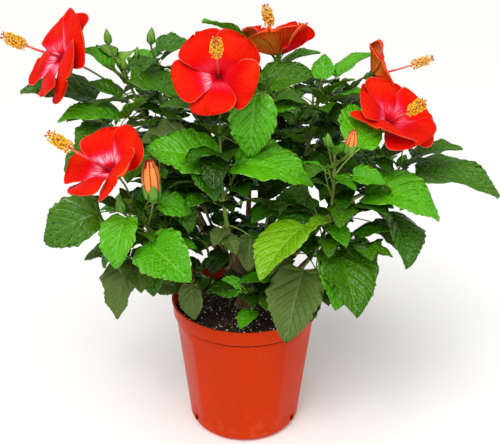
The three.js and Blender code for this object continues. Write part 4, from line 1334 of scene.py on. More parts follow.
def scatter_tree():
    """Deals out copies of a shape over the faces of a piece, and turns them outwards."""
    tree = bpy.data.node_groups.new("scatter", "GeometryNodeTree")
    face = tree.interface
    face.new_socket("Ground", in_out="INPUT", socket_type="NodeSocketGeometry")
    for name, kind, value in (
        ("Shape", "Object", None), ("Finish", "Material", None),
        ("Per square metre", "Float", 1000.0), ("Smallest", "Float", 0.5),
        ("Largest", "Float", 1.0), ("Tilt", "Float", 0.5), ("Seed", "Int", 0),
    ):
        socket = face.new_socket(name, in_out="INPUT", socket_type=f"NodeSocket{kind}")
        if value is not None:
            socket.default_value = value
    face.new_socket("Copies", in_out="OUTPUT", socket_type="NodeSocketGeometry")
    nodes, links = tree.nodes, tree.links

    def node(kind, sockets, **settings):
        made = nodes.new(kind)
        for key, value in settings.items():
            setattr(made, key, value)
        for key, value in sockets.items():
            place = made.inputs[key]
            if isinstance(value, bpy.types.NodeSocket):
                links.new(value, place)
            else:
                place.default_value = value
        return made

    given = nodes.new("NodeGroupInput").outputs
    spread = node("GeometryNodeDistributePointsOnFaces", {
        "Mesh": given["Ground"], "Density": given["Per square metre"], "Seed": given["Seed"],
    })
    lean = node("ShaderNodeMath", {0: given["Tilt"], 1: -1.0}, operation="MULTIPLY")
    low = node("ShaderNodeCombineXYZ", {"X": lean.outputs[0], "Y": lean.outputs[0], "Z": -math.pi})
    high = node("ShaderNodeCombineXYZ", {"X": given["Tilt"], "Y": given["Tilt"], "Z": math.pi})
    turn = node("FunctionNodeRandomValue", {
        "Min": low.outputs[0], "Max": high.outputs[0], "Seed": given["Seed"],
    }, data_type="FLOAT_VECTOR")
    spin = node("FunctionNodeRotateRotation", {
        "Rotation": spread.outputs["Rotation"], "Rotate By": turn.outputs["Value"],
    }, rotation_space="LOCAL")
    size = nodes.new("FunctionNodeRandomValue")
    size.data_type = "FLOAT"
    for key, name in (("Min", "Smallest"), ("Max", "Largest"), ("Seed", "Seed")):
        links.new(given[name], next(s for s in size.inputs if s.name == key and s.enabled))
    shape = node("GeometryNodeObjectInfo", {"Object": given["Shape"]})
    copies = node("GeometryNodeInstanceOnPoints", {
        "Points": spread.outputs["Points"], "Instance": shape.outputs["Geometry"],
        "Rotation": spin.outputs["Rotation"],
        "Scale": next(s for s in size.outputs if s.enabled),
    })
    real = node("GeometryNodeRealizeInstances", {"Geometry": copies.outputs["Instances"]})
    painted = node("GeometryNodeSetMaterial", {
        "Geometry": real.outputs["Geometry"], "Material": given["Finish"],
    })
    links.new(painted.outputs["Geometry"], nodes.new("NodeGroupOutput").inputs[0])
    return tree


def scattered(name, ground, shape, finish, values):
    """The plain mesh of copies of a shape dealt out over a ground mesh. Both are used up."""
    tree = bpy.data.node_groups.get("scatter") or scatter_tree()
    carrier, pattern = add_object(name, ground), add_object(name + "_shape", shape)
    modifier = carrier.modifiers.new("Scatter", "NODES")
    modifier.node_group = tree
    keys = {item.name: item.identifier for item in tree.interface.items_tree if item.in_out == "INPUT"}
    for key, value in {"Shape": pattern, "Finish": finish, **values}.items():
        modifier[keys[key]] = value
    mesh = plain_mesh(carrier, pattern)
    mesh.name = name
    return mesh


def pebble(seed, squash, rough):
    """An uneven lump of about one millimetre's radius."""
    work = bmesh.new()
    bmesh.ops.create_icosphere(work, subdivisions=1, radius=1 / PER_METRE)
    random = np.random.default_rng(seed)
    for vert in work.verts:
        vert.co *= 1 + rough * (random.random() - 0.5) * 2
        vert.co = Vector(c * s for c, s in zip(vert.co, squash))
    mesh = bpy.data.meshes.new("lump")
    work.to_mesh(mesh)
    work.free()
    mesh.shade_smooth()
    return mesh


def anther_shapes():
    """A filament one unit long, and the two-lobed anther at its end."""
    heap = Heap()
    add_tube(heap, Curve((0, 0, -0.4), (0, 0, 2), (0, 0.3, 4.2)), lambda share: 0.22, 3, 3)
    filament = heap.mesh("filament", [])
    anther = pebble(3, (1.35, 0.85, 0.8), 0.12)
    anther.transform(Matrix.Translation((0, 0.0003, 0.0046)))
    return filament, anther


def join_meshes(name, meshes, material):
    """One mesh of several plain ones, which are used up."""
    heap = Heap()
    for mesh in meshes:
        mesh.calc_loop_triangles()
        points = np.empty(len(mesh.vertices) * 3)
        mesh.vertices.foreach_get("co", points)
        faces = np.empty(len(mesh.loop_triangles) * 3, int)
        mesh.loop_triangles.foreach_get("vertices", faces)
        heap.add(points.reshape(-1, 3) * PER_METRE, faces.reshape(-1, 3))
        bpy.data.meshes.remove(mesh)
    return heap.mesh(name, [material])


# Petals and sepals
WHOLE = [(0, 0), (1, 1)]
PETAL_CUTS = (
    0, 0.03, 0.08, 0.15, 0.22, 0.29, 0.36, 0.43, 0.5, 0.57, 0.63, 0.69, 0.745, 0.795, 0.84, 0.88,
    0.912, 0.938, 0.958, 0.973, 0.984, 0.992, 0.998,
)
SEPAL_CUTS = (0, 0.06, 0.2, 0.4, 0.6, 0.78, 0.92)
SEPAL_COLUMNS = (-1, -0.55, 0.55, 1)
# How thick they are, in millimetres. A petal is far thinner here than its solid is
SEPAL_THICK = 0.5
PETAL_THIN = 0.45


@functools.cache
def petal_grid():
    """A petal's grid, whose columns crowd towards its edges."""
    columns = np.sin(np.linspace(-0.5, 0.5, 21) * np.pi * 0.96) / math.sin(0.48 * math.pi)
    return BladeGrid(WHOLE, PETAL_CUTS, (-1.0, *columns[1:-1], 1.0), 0)


@functools.cache
def sepal_grid():
    return BladeGrid(WHOLE, SEPAL_CUTS, SEPAL_COLUMNS, 0)


def sepal_outline(u):
    """A sepal's width from its broad base at 0 to its point at 1."""
    return np.sin(np.pi * np.clip(0.12 + 0.88 * u, 0, 1)) ** 0.8


def add_sepals(heap, place, way, count, sizes, slot=0, turn=0.0):
    """A whorl of small pointed green blades round a stalk's end. sizes are their length, width,
    distance from the middle, and their angles from the way at the foot and at the tip."""
    long, wide, out, low, high = sizes
    grid = sepal_grid()
    for heading in ways_round(way, [turn + 2 * math.pi * n / count for n in range(count)]):
        blade = Blade(
            place=place + heading * out, heading=heading, side=np.cross(way, heading), up=way,
            long=long, wide=wide, rise=math.radians(90 - low), droop=math.radians(90 - high),
            fold=math.radians(LEAF_FOLD), lobe=0, outline=sepal_outline,
        )
        points, normal = blade.point(grid.u, grid.v), blade.frame(grid.u)[2]
        heap.add(with_under_side(points, normal, SEPAL_THICK, grid), grid.faces, slot)


def petal_surface(blade, random, size, spread):
    """The points of a petal, ruffled towards its rim and fluted in its middle, and the place of
    each in the petal's pattern."""
    grid = petal_grid()
    u, side = grid.u, np.abs(grid.v)
    points = blade.point(u, grid.v * (1 + (spread - 1) * (2.6 - 1.6 * u)))
    _, _, normal = blade.frame(u)
    phase = random.random(4) * 2 * np.pi
    rim = smooth(0.45, 1, np.maximum(side * smooth(0.2, 0.6, u), u ** 3))
    ruffle = (np.sin(9 * u * np.sign(grid.v) + phase[0]) + 0.7 * np.sin(grid.v * 7 + u * 5 + phase[1])
              + 0.4 * np.sin(grid.v * 15 + phase[2]))
    flute = 0.5 * np.sin(grid.v * 11 + phase[3]) * smooth(0.1, 0.5, u) * (1 - side)
    lift = size * (2.3 * ruffle * rim + 0.7 * flute)
    points += normal * lift[:, None]
    places = np.stack([u, (grid.v + 1) / 2], axis=1)
    return with_under_side(points, normal, PETAL_THIN, grid), np.vstack([places, places[grid.inner]])


# Radius and height of points from the groove under the rim band, over the lip, to the inner wall
RIM_PROFILE = (
    (120.9, 212.6), (119.4, 213.2), (119.4, 214.8), (124, 215.2), (124.6, 216.5), (125.2, 237),
    (126.4, 237.6), (127, 238.6), (127, 240), (126.4, 241), (124.6, 241), (123.2, 240.4),
    (122.9, 238), (122, 219),
)
# The heights between which the wall's flats fade in and out
FLATS_FROM = (8, 34)
FLATS_TO = (186, 209)


def pot_profile():
    """Radius and height of points round the pot's shell, from its underside to its inner floor."""
    turns = np.linspace(-math.pi / 2, 0, 7)
    middle = WALL_FOOT_RADIUS - CORNER

    def corner(radius):
        return [(middle + radius * math.cos(t), CORNER + radius * math.sin(t)) for t in turns]

    def wall(inset):
        return [(mix(WALL_FOOT_RADIUS, WALL_TOP_RADIUS, s) - inset, mix(CORNER, BAND_FOOT - 4, s))
                for s in np.linspace(0, 1, 13)[1:]]

    return [
        (0, 1.2), (70, 1.2), (72, 0), *corner(CORNER), *wall(0), *RIM_PROFILE, *wall(WALL)[::-1],
        *corner(CORNER - WALL)[::-1], (0, WALL),
    ]


def pot_shell(settings):
    """The shell, whose wall is a little flat between soft edges."""
    turn = np.linspace(0, 2 * np.pi, settings.sides, endpoint=False)
    step = 2 * math.pi / settings.flats
    from_middle = (turn + math.pi / 2 - settings.first_edge + step / 2) % step - step / 2
    from_middle = np.abs(np.abs(from_middle) - step / 2)
    flat = math.cos(step / 2) / np.cos(from_middle)
    rings = []
    for radius, height in pot_profile():
        if radius == 0:
            rings.append(UP[None] * height)
            continue
        share = settings.flatness * smooth(*FLATS_FROM, height) * (1 - smooth(*FLATS_TO, height))
        around = radius * mix(1, flat, share)
        rings.append(np.stack([around * np.cos(turn), around * np.sin(turn), 0 * turn + height], 1))
    heap = Heap()
    heap.add(*loft(rings))
    return heap.mesh("pot_shell", [pot_plastic(settings)])


def drain_slots():
    """Rounded blocks where the pot's wall is open at its foot."""
    work = bmesh.new()
    middle = np.array([WALL_FOOT_RADIUS, 0, WALL + GAP + SLOT_HEIGHT / 2]) / PER_METRE
    size = np.array([2 * CORNER, SLOT_WIDTH, SLOT_HEIGHT, PER_METRE]) / PER_METRE
    for n in range(DRAIN_SLOTS):
        turn = Matrix.Rotation(math.radians(90 + n * 360 / DRAIN_SLOTS), 4, "Z")
        matrix = turn @ Matrix.Translation(middle) @ Matrix.Diagonal(size)
        bmesh.ops.create_cube(work, size=1, matrix=matrix)
    slots = bpy.data.meshes.new("slots")
    work.to_mesh(slots)
    work.free()
    return slots


def cut_away(mesh, tool):
    """The mesh with the tool's shapes cut out of it. Both are used up."""
    body, blocks = (add_object(m.name + "_work", m) for m in (mesh, tool))
    for thing, kind, values in (
        (blocks, "BEVEL", {"width": 0.0025, "segments": 4}),
        (body, "BOOLEAN", {"operation": "DIFFERENCE", "object": blocks, "solver": "EXACT"}),
    ):
        modifier = thing.modifiers.new(kind, kind)
        for key, value in values.items():
            setattr(modifier, key, value)
    cut = plain_mesh(body, blocks)
    cut.shade_smooth()
    cut.set_sharp_from_angle(angle=math.radians(38))
    return cut


# Soil
SOIL_RADIUS = 117.6
SOIL_DEEP = 14
SOIL_WAVES = 14


def soil_rings(settings):
    """The rings of the soil's lumpy top, from the middle out."""
    radii = np.linspace(0, SOIL_RADIUS, 48)[1:]
    turn = np.linspace(0, 2 * np.pi, 160, endpoint=False)
    random = np.random.default_rng(settings.seed)
    waves = random.normal(size=(SOIL_WAVES, 2)) * np.linspace(0.03, 0.5, SOIL_WAVES)[:, None]
    phases = random.random(SOIL_WAVES) * 7

    def height(x, y):
        level = np.interp(np.hypot(x, y), (0, SOIL_FLAT, 118), (SOIL_TOP, SOIL_TOP, SOIL_EDGE)) - 0.6
        for n, (wave, phase) in enumerate(zip(waves, phases)):
            level = level + settings.lumps * np.sin(wave[0] * x + wave[1] * y + phase) / (2 + 0.5 * n)
        return level

    rings = [np.array([[0, 0, height(0.0, 0.0)]])]
    for radius in radii:
        x, y = radius * np.cos(turn), radius * np.sin(turn)
        rings.append(np.stack([x, y, height(x, y)], axis=1))
    return rings


def crumb_mixes(settings):
    """What lies on the soil: each mix's name, lump, finish, count on a square metre, smallest
    and largest size, and tilt. A lump has its stretch and how uneven it is."""
    rows = (
        ("peat", (1, 0.8, 0.6), 0.35, ("crumb_0", 0x1B120D, 0.9), settings.peat, 0.7, 2.6, 1.2),
        ("clods", (1, 0.9, 0.7), 0.4, ("crumb_1", 0x3C2819, 0.9), settings.peat * 0.4, 0.8, 3.2, 1.2),
        ("chips", (2.3, 0.9, 0.45), 0.3, ("crumb_2", 0x6A4A2E, 0.9), settings.chips, 0.9, 2.4, 0.5),
        ("perlite", (1, 0.9, 0.8), 0.3, ("perlite", 0xEDEAE2, 0.8), settings.perlite, 0.5, 1.9, 1.2),
        ("straws", (9, 0.35, 0.25), 0.15, ("straw", 0xC9AE7C, 0.75), settings.straws, 1.0, 2.2, 0.3),
    )
    return [(name, pebble(n + 1, squash, rough), *plains(finish), *amounts)
            for n, (name, squash, rough, finish, *amounts) in enumerate(rows)]


def shoot_rows():
    """Every shoot with its mass, its number in the mass, its curve and its radii."""
    curves, _, _ = grow()
    return [(mass, n, curve, FORK_RADII if n else SHOOT_RADII)
            for mass in MASSES for n, curve in enumerate(curves[mass["name"]])]


# Share of the twig, turn, size and rise of each leaf on a fine twig, and heading and length of
# the small ones that close a shoot
TWIG_LEAVES = ((0.5, 75, 0.85, 20), (0.75, -75, 0.95, 24), (1, 0, 1.05, 30))
TIP_LEAVES = ((20, 30), (140, 25), (260, 21))
TWIG_NUDGES = ((0, 0, 1), (0, -14, 0.9), (0, 16, 0.85), (35, 0, 0.8), (-35, 0, 0.8))
TWIG_CLEARANCE = 0.2
TWIG_REACH = 0.75
TWIG_CLIMB = (0.4, 0.9)
TWIG_SWING = (0.6, 0.35)
# The shaded middle of the shrub, whose leaves get painted shade: how far it lies towards the show side,
# the range that its edge is dealt from for each leaf, and its top
SHADE_FORWARD = 40
SHADE_REACH = (75, 165)
SHADE_TOP = 580


@functools.cache
def fine_twigs(spacing, longest, seed):
    """The twigs that are finer than the solids: (mass, curve, leaves as (blade, petiole)).

    They leave each shoot by the golden angle, and each of their leaves has to find its place
    clear of all that has grown before. Up to three small leaves close every shoot."""
    curves, _, taken = grow()
    random = np.random.default_rng(seed)
    twigs = []

    def grow_leaves(mass, curve, leaves):
        grown = []
        for leaf in leaves:
            for nudge in TWIG_NUDGES:
                blade, petiole = leaf_on(curve, leaf, nudge)
                if not taken.touches(blade.rings(TWIG_CLEARANCE)):
                    taken.take([loft(blade.rings())], "blade", mass)
                    grown.append((blade, petiole))
                    break
        return grown

    for mass in MASSES:
        name = mass["name"]
        for n, curve in enumerate(curves[name]):
            count = int(curve.long() / spacing)
            for k in range(count):
                share = (k + 0.7 + 0.3 * random.random()) / (count + 0.6)
                heading = mass["shoots"][n]["turn"] + 60 + GOLDEN_TURN * k
                long = longest * mix(0.5, 1, random.random()) * mix(1, 0.7, share)
                root = curve.point(share)
                climb = mix(*TWIG_CLIMB, random.random())
                tip = root + level_way(heading) * long * TWIG_REACH + UP * long * climb
                twig = swing(root, tip, *TWIG_SWING)
                leaves = [dict(
                    share=s, heading=heading + side, reach=long * 0.2, lift=long * 0.12, swivel=0,
                    long=longest * size * mix(0.8, 1.15, random.random()), rise=rise,
                    droop=rise - mix(35, 65, random.random()), roll=mix(-12, 12, random.random()),
                ) for s, side, size, rise in TWIG_LEAVES]
                grown = grow_leaves(name, twig, leaves)
                if grown:
                    twigs.append((name, twig, grown))
            tips = [dict(
                share=0.985, heading=heading, reach=5, lift=7, swivel=0, long=size, rise=62, droop=30,
                roll=0,
            ) for heading, size in TIP_LEAVES]
            twigs.append((name, None, grow_leaves(name, curve, tips)))
    return twigs


def in_painted_shade(place, random):
    """Whether a leaf's place is in the shaded middle of the shrub, whose edge varies. Leaves there get
    painted shade.
    """
    far = np.hypot(place[0], place[1] + SHADE_FORWARD)
    return far < mix(*SHADE_REACH, random.random()) and place[2] < SHADE_TOP


def add_leaf(heap, blade, kind, random, fine=True, shown=False):
    """Adds a leaf in a tint dealt out by chance, or in painted shade in the shrub's middle. Leaves
    shown in front never get the painted shade.
    """
    grid = leaf_grid(fine)
    # A leaf in the shrub's middle takes tint 0, which is painted shade
    deep = not shown and in_painted_shade(blade.place, random)
    tint = 0 if deep else int(random.integers(2 if shown else 1, len(LEAF_TINTS)))
    base = 3 * (len(LEAF_TINTS) * kind + tint)
    slots = base + np.where(grid.upper, np.where(grid.veins, 1, 0), 2)
    heap.add(leaf_surface(blade, LEAF_LOOKS[kind], random, grid), grid.faces, slots)


# The part of its cell that a petal's side fills on the pattern's sheet
CELL_INSIDE = (0.03, 0.97)


def bloom_curve(bloom):
    """The shoot that a bloom stands on."""
    curves, _, _ = grow()
    return curves[bloom["mass"]][bloom["shoot"]]


def petal_mesh(bloom, settings, materials, seed):
    """A bloom's petals with their pattern, a cell of the pattern's sheet for each side of each,
    and how strong each petal's blaze is."""
    random = np.random.default_rng(seed)
    grid, heap, blazes = petal_grid(), Heap(), []
    for n, blade in enumerate(petal_blades(bloom)):
        points, places = petal_surface(blade, random, bloom["size"] * settings.ruffle, bloom["spread"])
        heap.add(points, grid.faces, np.where(grid.upper, 0, 1), places)
        blazes.append(np.full(len(points), bloom["blaze"][n]))
    mesh = heap.mesh(bloom["name"].replace("bloom", "petals"), materials, "petal")
    mesh.attributes.new("blaze", "FLOAT", "POINT").data.foreach_set("value", np.concatenate(blazes))
    places = np.empty(len(mesh.loops) * 2)
    mesh.uv_layers["petal"].uv.foreach_get("vector", places)
    along, across = places.reshape(-1, 2).T
    petal = np.repeat(np.arange(PETALS), len(grid.faces) * 3)
    side = np.tile(np.repeat(~grid.upper, 3), PETALS)
    across, along = mix(*CELL_INSIDE, across), mix(*CELL_INSIDE, along)
    cells = np.stack([(petal + across) / PETALS, (side + along) / 2], 1)
    mesh.uv_layers.new(name="OFBake").uv.foreach_set("vector", cells.ravel())
    return mesh


# Columns and buds
COLUMN_COLOURS = (0x9C0F26, 0xC01F33, 0xD93B42, 0xE55648, 0xEC7750, 0xF0925C, 0xF2A566)
STIGMA_RADIUS = 1.2
CUP_PROFILE = ((1.6, -1), (4.2, 1.2), (5.6, 4.5), (6.3, 9), (6.6, 13), (5.4, 13.6), (4.0, 9))
# A bud's radius at spots along it, as shares of its widest, while closed and when its petals show
BUD_SPOTS = (0, 0.12, 0.3, 0.6, 0.8, 0.94, 1)
BUD_CLOSED = np.array([0.3, 0.75, 1, 0.86, 0.52, 0.2, 0.05])
BUD_OPENED = np.array([0.3, 0.66, 0.92, 1, 0.84, 0.58, 0.46])
BUD_RINGS = 22
BUD_TURNS = 40


def add_column(heap, curve, radii, steps, sides):
    """A column whose colour goes in steps from its foot to its tip."""
    row = np.arange(2 * (steps * sides + sides - 2)) // (2 * sides)
    slots = np.minimum(row, steps - 1) * len(COLUMN_COLOURS) // steps
    slots[-(sides - 2) * 2:] = len(COLUMN_COLOURS) - 1
    add_rings(heap, limb(curve, radii, steps, sides), slots)


def brush_ground(curve, size):
    """The last part of a column, where the anthers stand."""
    start = 1 - BRUSH_SHARE
    part = Curve(curve.point(start), curve.point((1 + start) / 2), curve.point(0.985))
    heap = Heap()
    add_tube(heap, part, lambda share: 1.3 * size, 10, 8)
    return heap.mesh("brush", [])


def add_stigmas(heap, curve, size, slot):
    """Five short styles that part at the column's tip, each with a round stigma."""
    tip, way = curve.point(1), curve.way(1)
    ball = [(STIGMA_RADIUS * math.sin(t), STIGMA_RADIUS - STIGMA_RADIUS * math.cos(t))
            for t in np.linspace(0.25, math.pi - 0.25, 6)]
    for out in ways_round(way, [2 * math.pi * n / PETALS + 0.4 for n in range(PETALS)]):
        end = tip + (way * 5.5 + out * 4.2) * size
        add_tube(heap, Curve(tip - way, tip + way * 3 * size, end), lambda share: 0.45, 4, 5, slot)
        add_turned(heap, end - way * 0.6, unit(way + out * 0.6), ball, 8, slot + 1)


def add_calyx(heap, foot, way, size, slot):
    """A green cup with five pointed sepals, and a whorl of narrow bracts below it."""
    add_turned(heap, foot, way, [(r * size, far * size) for r, far in CUP_PROFILE], 15, slot)
    lobes = (17 * size, 9 * size, 5.9 * size, 24, 58)
    add_sepals(heap, foot + way * 9 * size, way, 5, lobes, slot + 1)
    bracts = (11 * size, 1.9 * size, 3.4 * size, 28, 52)
    add_sepals(heap, foot + way * 1.5, way, 7, bracts, slot + 1, 0.2)


def add_bud(heap, curve, bud):
    """A bud on its stalk: green sepals closed round a tip, or rolled petals that stand out."""
    stalk, foot, way = bud_parts(curve, bud)
    add_tube(heap, stalk, lambda share: PEDICEL_RADIUS * mix(0.75, 1.1, share), 14, 7, 0)
    long, open_share = bud["long"], bud["opened"]
    radius = 0.245 * long * mix(1, 0.88, open_share)
    turns = 2 * np.pi * np.arange(BUD_TURNS) / BUD_TURNS
    first = level_across(way)
    second = np.cross(way, first)
    body = mix(BUD_CLOSED, BUD_OPENED, open_share)
    shares = [*np.linspace(0, 1, BUD_RINGS), mix(1, 0.93, open_share), mix(1, 0.84, open_share)]
    radii = [*np.interp(shares[:BUD_RINGS], BUD_SPOTS, body), *body[-1] * np.array([0.7, 0.3])]
    rings = []
    for share, part in zip(shares, radii):
        ribs = 0.08 * np.cos(5 * turns + 4 * share * open_share) * (1 - share * 0.5)
        around = radius * part * (1 + ribs)
        rings.append(ring(foot + way * long * share, first, second, around[:, None], BUD_TURNS))
    place, last = np.arange(len(rings) * BUD_TURNS - 2), BUD_RINGS - 1
    row, column = np.repeat(place // BUD_TURNS, 2), np.repeat(place % BUD_TURNS, 2)
    green_to = mix(1.0, 0.25, open_share)
    mouth = (row >= last) | (row >= last - 3) & (column % 4 < 2)
    tone = np.where(row / last < green_to, 1, np.where(mouth | (column % 5 == 0), 4, 3))
    add_rings(heap, rings, tone)
    sepals = (long * mix(0.5, 0.36, open_share), radius * 1.15, radius * 0.86, 14, -12 + 8 * open_share)
    add_sepals(heap, foot + way * long * 0.1, way, 5, sepals, 1, 0.3)
    add_sepals(heap, foot + way * 0.8, way, 7, (long * 0.32, 1.5, radius * 0.45, 24, 12), 2)


class PotSettings(bpy.types.PropertyGroup):
    sides: IntProperty(name="Sides", description="Faces round the pot", default=180, min=36)
    flats: IntProperty(name="Flats", description="Nearly flat parts of the wall", default=9, min=3)
    flatness: FloatProperty(
        name="Flatness", description="How flat those parts are", default=0.6, min=0, max=1,
    )
    first_edge: FloatProperty(
        name="First edge", description="Where an edge stands, from the front to the right",
        default=math.radians(-6), subtype="ANGLE",
    )
    pot_colour: FloatVectorProperty(
        name="Plastic", description="Colour of the pot", default=linear(0xD23602),
        subtype="COLOR", min=0, max=1,
    )
    pot_dark: FloatVectorProperty(
        name="Shaded plastic", description="Darker colour in the plastic's cloudy places",
        default=linear(0xB02C02), subtype="COLOR", min=0, max=1,
    )


class SoilSettings(bpy.types.PropertyGroup):
    seed: IntProperty(name="Seed", description="Changes how the soil lies", default=4)
    lumps: FloatProperty(
        name="Lumps", description="Height of the soil's lumps, in millimetres", default=1.2, min=0,
    )
    peat: FloatProperty(
        name="Peat", description="Crumbs of peat on a square metre", default=60000, min=0,
    )
    chips: FloatProperty(
        name="Chips", description="Bits of bark on a square metre", default=9000, min=0,
    )
    perlite: FloatProperty(
        name="Perlite", description="White grains on a square metre", default=11000, min=0,
    )
    straws: FloatProperty(
        name="Straws", description="Pale straws on a square metre", default=700, min=0,
    )


class WoodSettings(bpy.types.PropertyGroup):
    relief: FloatProperty(
        name="Relief", description="Depth of the bark, in millimetres", default=0.55, min=0,
    )
    knot: FloatProperty(
        name="Knots", description="Swelling of a shoot at each leaf, in millimetres", default=0.8,
        min=0,
    )


class LeafSettings(bpy.types.PropertyGroup):
    seed: IntProperty(name="Seed", description="Changes the leaves' tints and waves", default=12)
    twig_spacing: FloatProperty(
        name="Twig spacing", description="Millimetres of shoot between fine twigs", default=25, min=15,
    )
    twig_long: FloatProperty(
        name="Twig leaf", description="Length of a fine twig's leaves, in millimetres", default=58,
        min=10,
    )


class BloomSettings(bpy.types.PropertyGroup):
    ruffle: FloatProperty(
        name="Ruffle", description="How wavy the petals are", default=1.5, min=0, max=2,
    )
    anthers: FloatProperty(
        name="Anthers", description="Anthers on a square metre of the column", default=1050000, min=0,
    )
    petal_colour: FloatVectorProperty(
        name="Petals", description="Colour of most of a petal", default=linear(0xDE0402),
        subtype="COLOR", min=0, max=1,
    )
    petal_orange: FloatVectorProperty(
        name="Petal ends", description="Colour towards a petal's end", default=linear(0xF03A08),
        subtype="COLOR", min=0, max=1,
    )
    throat_colour: FloatVectorProperty(
        name="Throat", description="Colour in the middle of a bloom", default=linear(0xB00414),
        subtype="COLOR", min=0, max=1,
    )


class StageSettings(bpy.types.PropertyGroup):
    lens: FloatProperty(
        name="Lens", description="Focal length of the camera", default=51.9, subtype="DISTANCE_CAMERA",
    )
    pitch: FloatProperty(
        name="Pitch", description="How far the camera looks down", default=math.radians(23.6),
        subtype="ANGLE",
    )
    key: FloatProperty(
        name="Key light", description="Strength of the large distant light", default=2.1, min=0,
    )
    fill: FloatProperty(
        name="Fill light", description="Power of the second light", default=13, min=0, subtype="POWER",
    )
    window: FloatProperty(
        name="Window", description="Power of the small light that glints on the leaves", default=4.5,
        min=0, subtype="POWER",
    )
    sky: FloatProperty(
        name="Surroundings", description="Strength of the light from all round", default=0.5, min=0,
    )


# Stage, in metres
CAMERA_PLACE = (0, -1.1, 0.859)
CAMERA_YAW = math.radians(0.4)
CAMERA_ROLL = math.radians(0.5)
SENSOR = 36
LIT_PLACE = Vector((0, 0, 0.4))
FLOOR_HALF = 30.0


def camera_matrix(pitch):
    """The camera's place, turned by its yaw, pitch and roll."""
    east, north = math.sin(CAMERA_YAW), math.cos(CAMERA_YAW)
    level, down = math.cos(pitch), math.sin(pitch)
    ahead = np.array([east * level, north * level, -down])
    right = np.array([north, -east, 0.0])
    up = np.cross(right, ahead)
    sine, cosine = math.sin(CAMERA_ROLL), math.cos(CAMERA_ROLL)
    right, up = right * cosine + up * sine, up * cosine - right * sine
    return Matrix((*zip(right, up, -ahead, CAMERA_PLACE), (0, 0, 0, 1)))


class SHRUB_OT_pot(bpy.types.Operator):
    """Makes the pot's shell with its rim band, soft edges and drain slots"""

    bl_idname = "shrub.pot"
    bl_label = "Pot"

    def execute(self, context):
        shell = cut_away(pot_shell(context.scene.shrub_pot), drain_slots())
        place_piece("pot_shell", shell, ["pot"])
        return {"FINISHED"}


class SHRUB_OT_soil(bpy.types.Operator):
    """Makes the bed of potting mix and deals crumbs, bark, perlite and straws out over it"""

    bl_idname = "shrub.soil"
    bl_label = "Soil"

    def execute(self, context):
        settings = context.scene.shrub_soil
        top = soil_rings(settings)
        foot = UP * (SOIL_EDGE - SOIL_DEEP)
        bed = Heap()
        bed.add(*loft([foot[None], top[-1] * (1, 1, 0) + foot, *top[:0:-1], top[0]]))
        place_piece("soil_bed", bed.mesh("soil_bed", [soil_mix()]), ["soil"])
        surface = Heap()
        surface.add(*loft([*top[:0:-1], top[0]]))
        ground = surface.mesh("ground", [])
        for n, (name, shape, finish, count, low, high, tilt) in enumerate(crumb_mixes(settings)):
            mesh = scattered(name, ground.copy(), shape, finish, {
                "Per square metre": count, "Smallest": low, "Largest": high, "Tilt": tilt,
                "Seed": settings.seed + n,
            })
            place_piece(name, mesh, [])
        bpy.data.meshes.remove(ground)
        return {"FINISHED"}


class SHRUB_OT_wood(bpy.types.Operator):
    """Makes the trunk and the boughs in bark"""

    bl_idname = "shrub.wood"
    bl_label = "Trunk and boughs"

    def execute(self, context):
        deep = context.scene.shrub_wood.relief
        heap = Heap()
        add_bark_limb(heap, trunk_line(), trunk_radius, 70, 44, 1, deep * 1.5)
        for n, bough in enumerate(BOUGHS):
            curve = bough_curve(bough)
            joints = knots(curve, np.arange(0.16, 1, 0.19), 3.5, 0.7)
            add_bark_limb(heap, curve, lambda share: mix(*BOUGH_RADII, share) - 0.4 + joints(share),
                          64, 20, n + 2, deep)
        mesh = heap.mesh("wood", [bark()])
        place_piece("wood", mesh, ["trunk", *[bough["name"] for bough in BOUGHS]])
        return {"FINISHED"}


class SHRUB_OT_stems(bpy.types.Operator):
    """Makes the green shoots, the finer twigs on them and the stalk of every leaf"""

    bl_idname = "shrub.stems"
    bl_label = "Shoots and stalks"

    def execute(self, context):
        leaf_settings, knot = context.scene.shrub_leaves, context.scene.shrub_wood.knot
        _, leaves, _ = grow()
        heap = Heap()
        materials = plains(
            ("shoot_olive", 0x7A8034, 0.6), ("shoot_green", 0x7E9E38, 0.5),
            ("stalk_green", 0x96B44A, 0.45),
        )
        for mass, n, curve, radii in shoot_rows():
            shares = [leaf["share"] for name, _, petiole, leaf in leaves
                      if name == mass["name"] and np.allclose(petiole.foot, curve.point(leaf["share"]))]
            swell = knots(curve, shares or [0], 3, knot)
            add_tube(heap, curve, lambda share: mix(*radii, share) - 0.5 + min(swell(share), knot),
                     30, 8, 0 if n == 0 and curve.foot[2] < 380 else 1)
        twigs = fine_twigs(leaf_settings.twig_spacing, leaf_settings.twig_long, leaf_settings.seed)
        for _, twig, grown in twigs:
            if twig:
                add_tube(heap, twig, lambda share: mix(1.3, 0.8, share), 5, 5, 1)
            for _, petiole in grown:
                add_tube(heap, petiole, lambda share: 0.6, 3, 4, 2)
        for _, _, petiole, _ in leaves:
            add_tube(heap, petiole, lambda share: mix(1.35, 1.05, smooth(0, 0.3, share)), 8, 6, 2)
        place_piece("stems", heap.mesh("stems", materials), [])
        return {"FINISHED"}


class SHRUB_OT_leaves(bpy.types.Operator):
    """Makes the toothed, quilted leaves in four kinds of green"""

    bl_idname = "shrub.leaves"
    bl_label = "Leaves"

    def execute(self, context):
        settings = context.scene.shrub_leaves
        random = np.random.default_rng(settings.seed)
        _, leaves, _ = grow()
        twigs = fine_twigs(settings.twig_spacing, settings.twig_long, settings.seed)
        for name, masses in LEAF_GROUPS.items():
            heap = Heap()
            for mass, blade, _, leaf in leaves:
                if mass in masses:
                    kind, shown = leaf_kind(leaf, blade.place[2], random), leaf["kind"] is not None
                    add_leaf(heap, blade, kind, random, shown=shown)
            for mass, _, grown in twigs:
                for blade, _ in grown if mass in masses else ():
                    add_leaf(heap, blade, twig_leaf_kind(random), random, fine=False)
            place_piece(name, heap.mesh(name, leaf_materials()), masses)
        return {"FINISHED"}


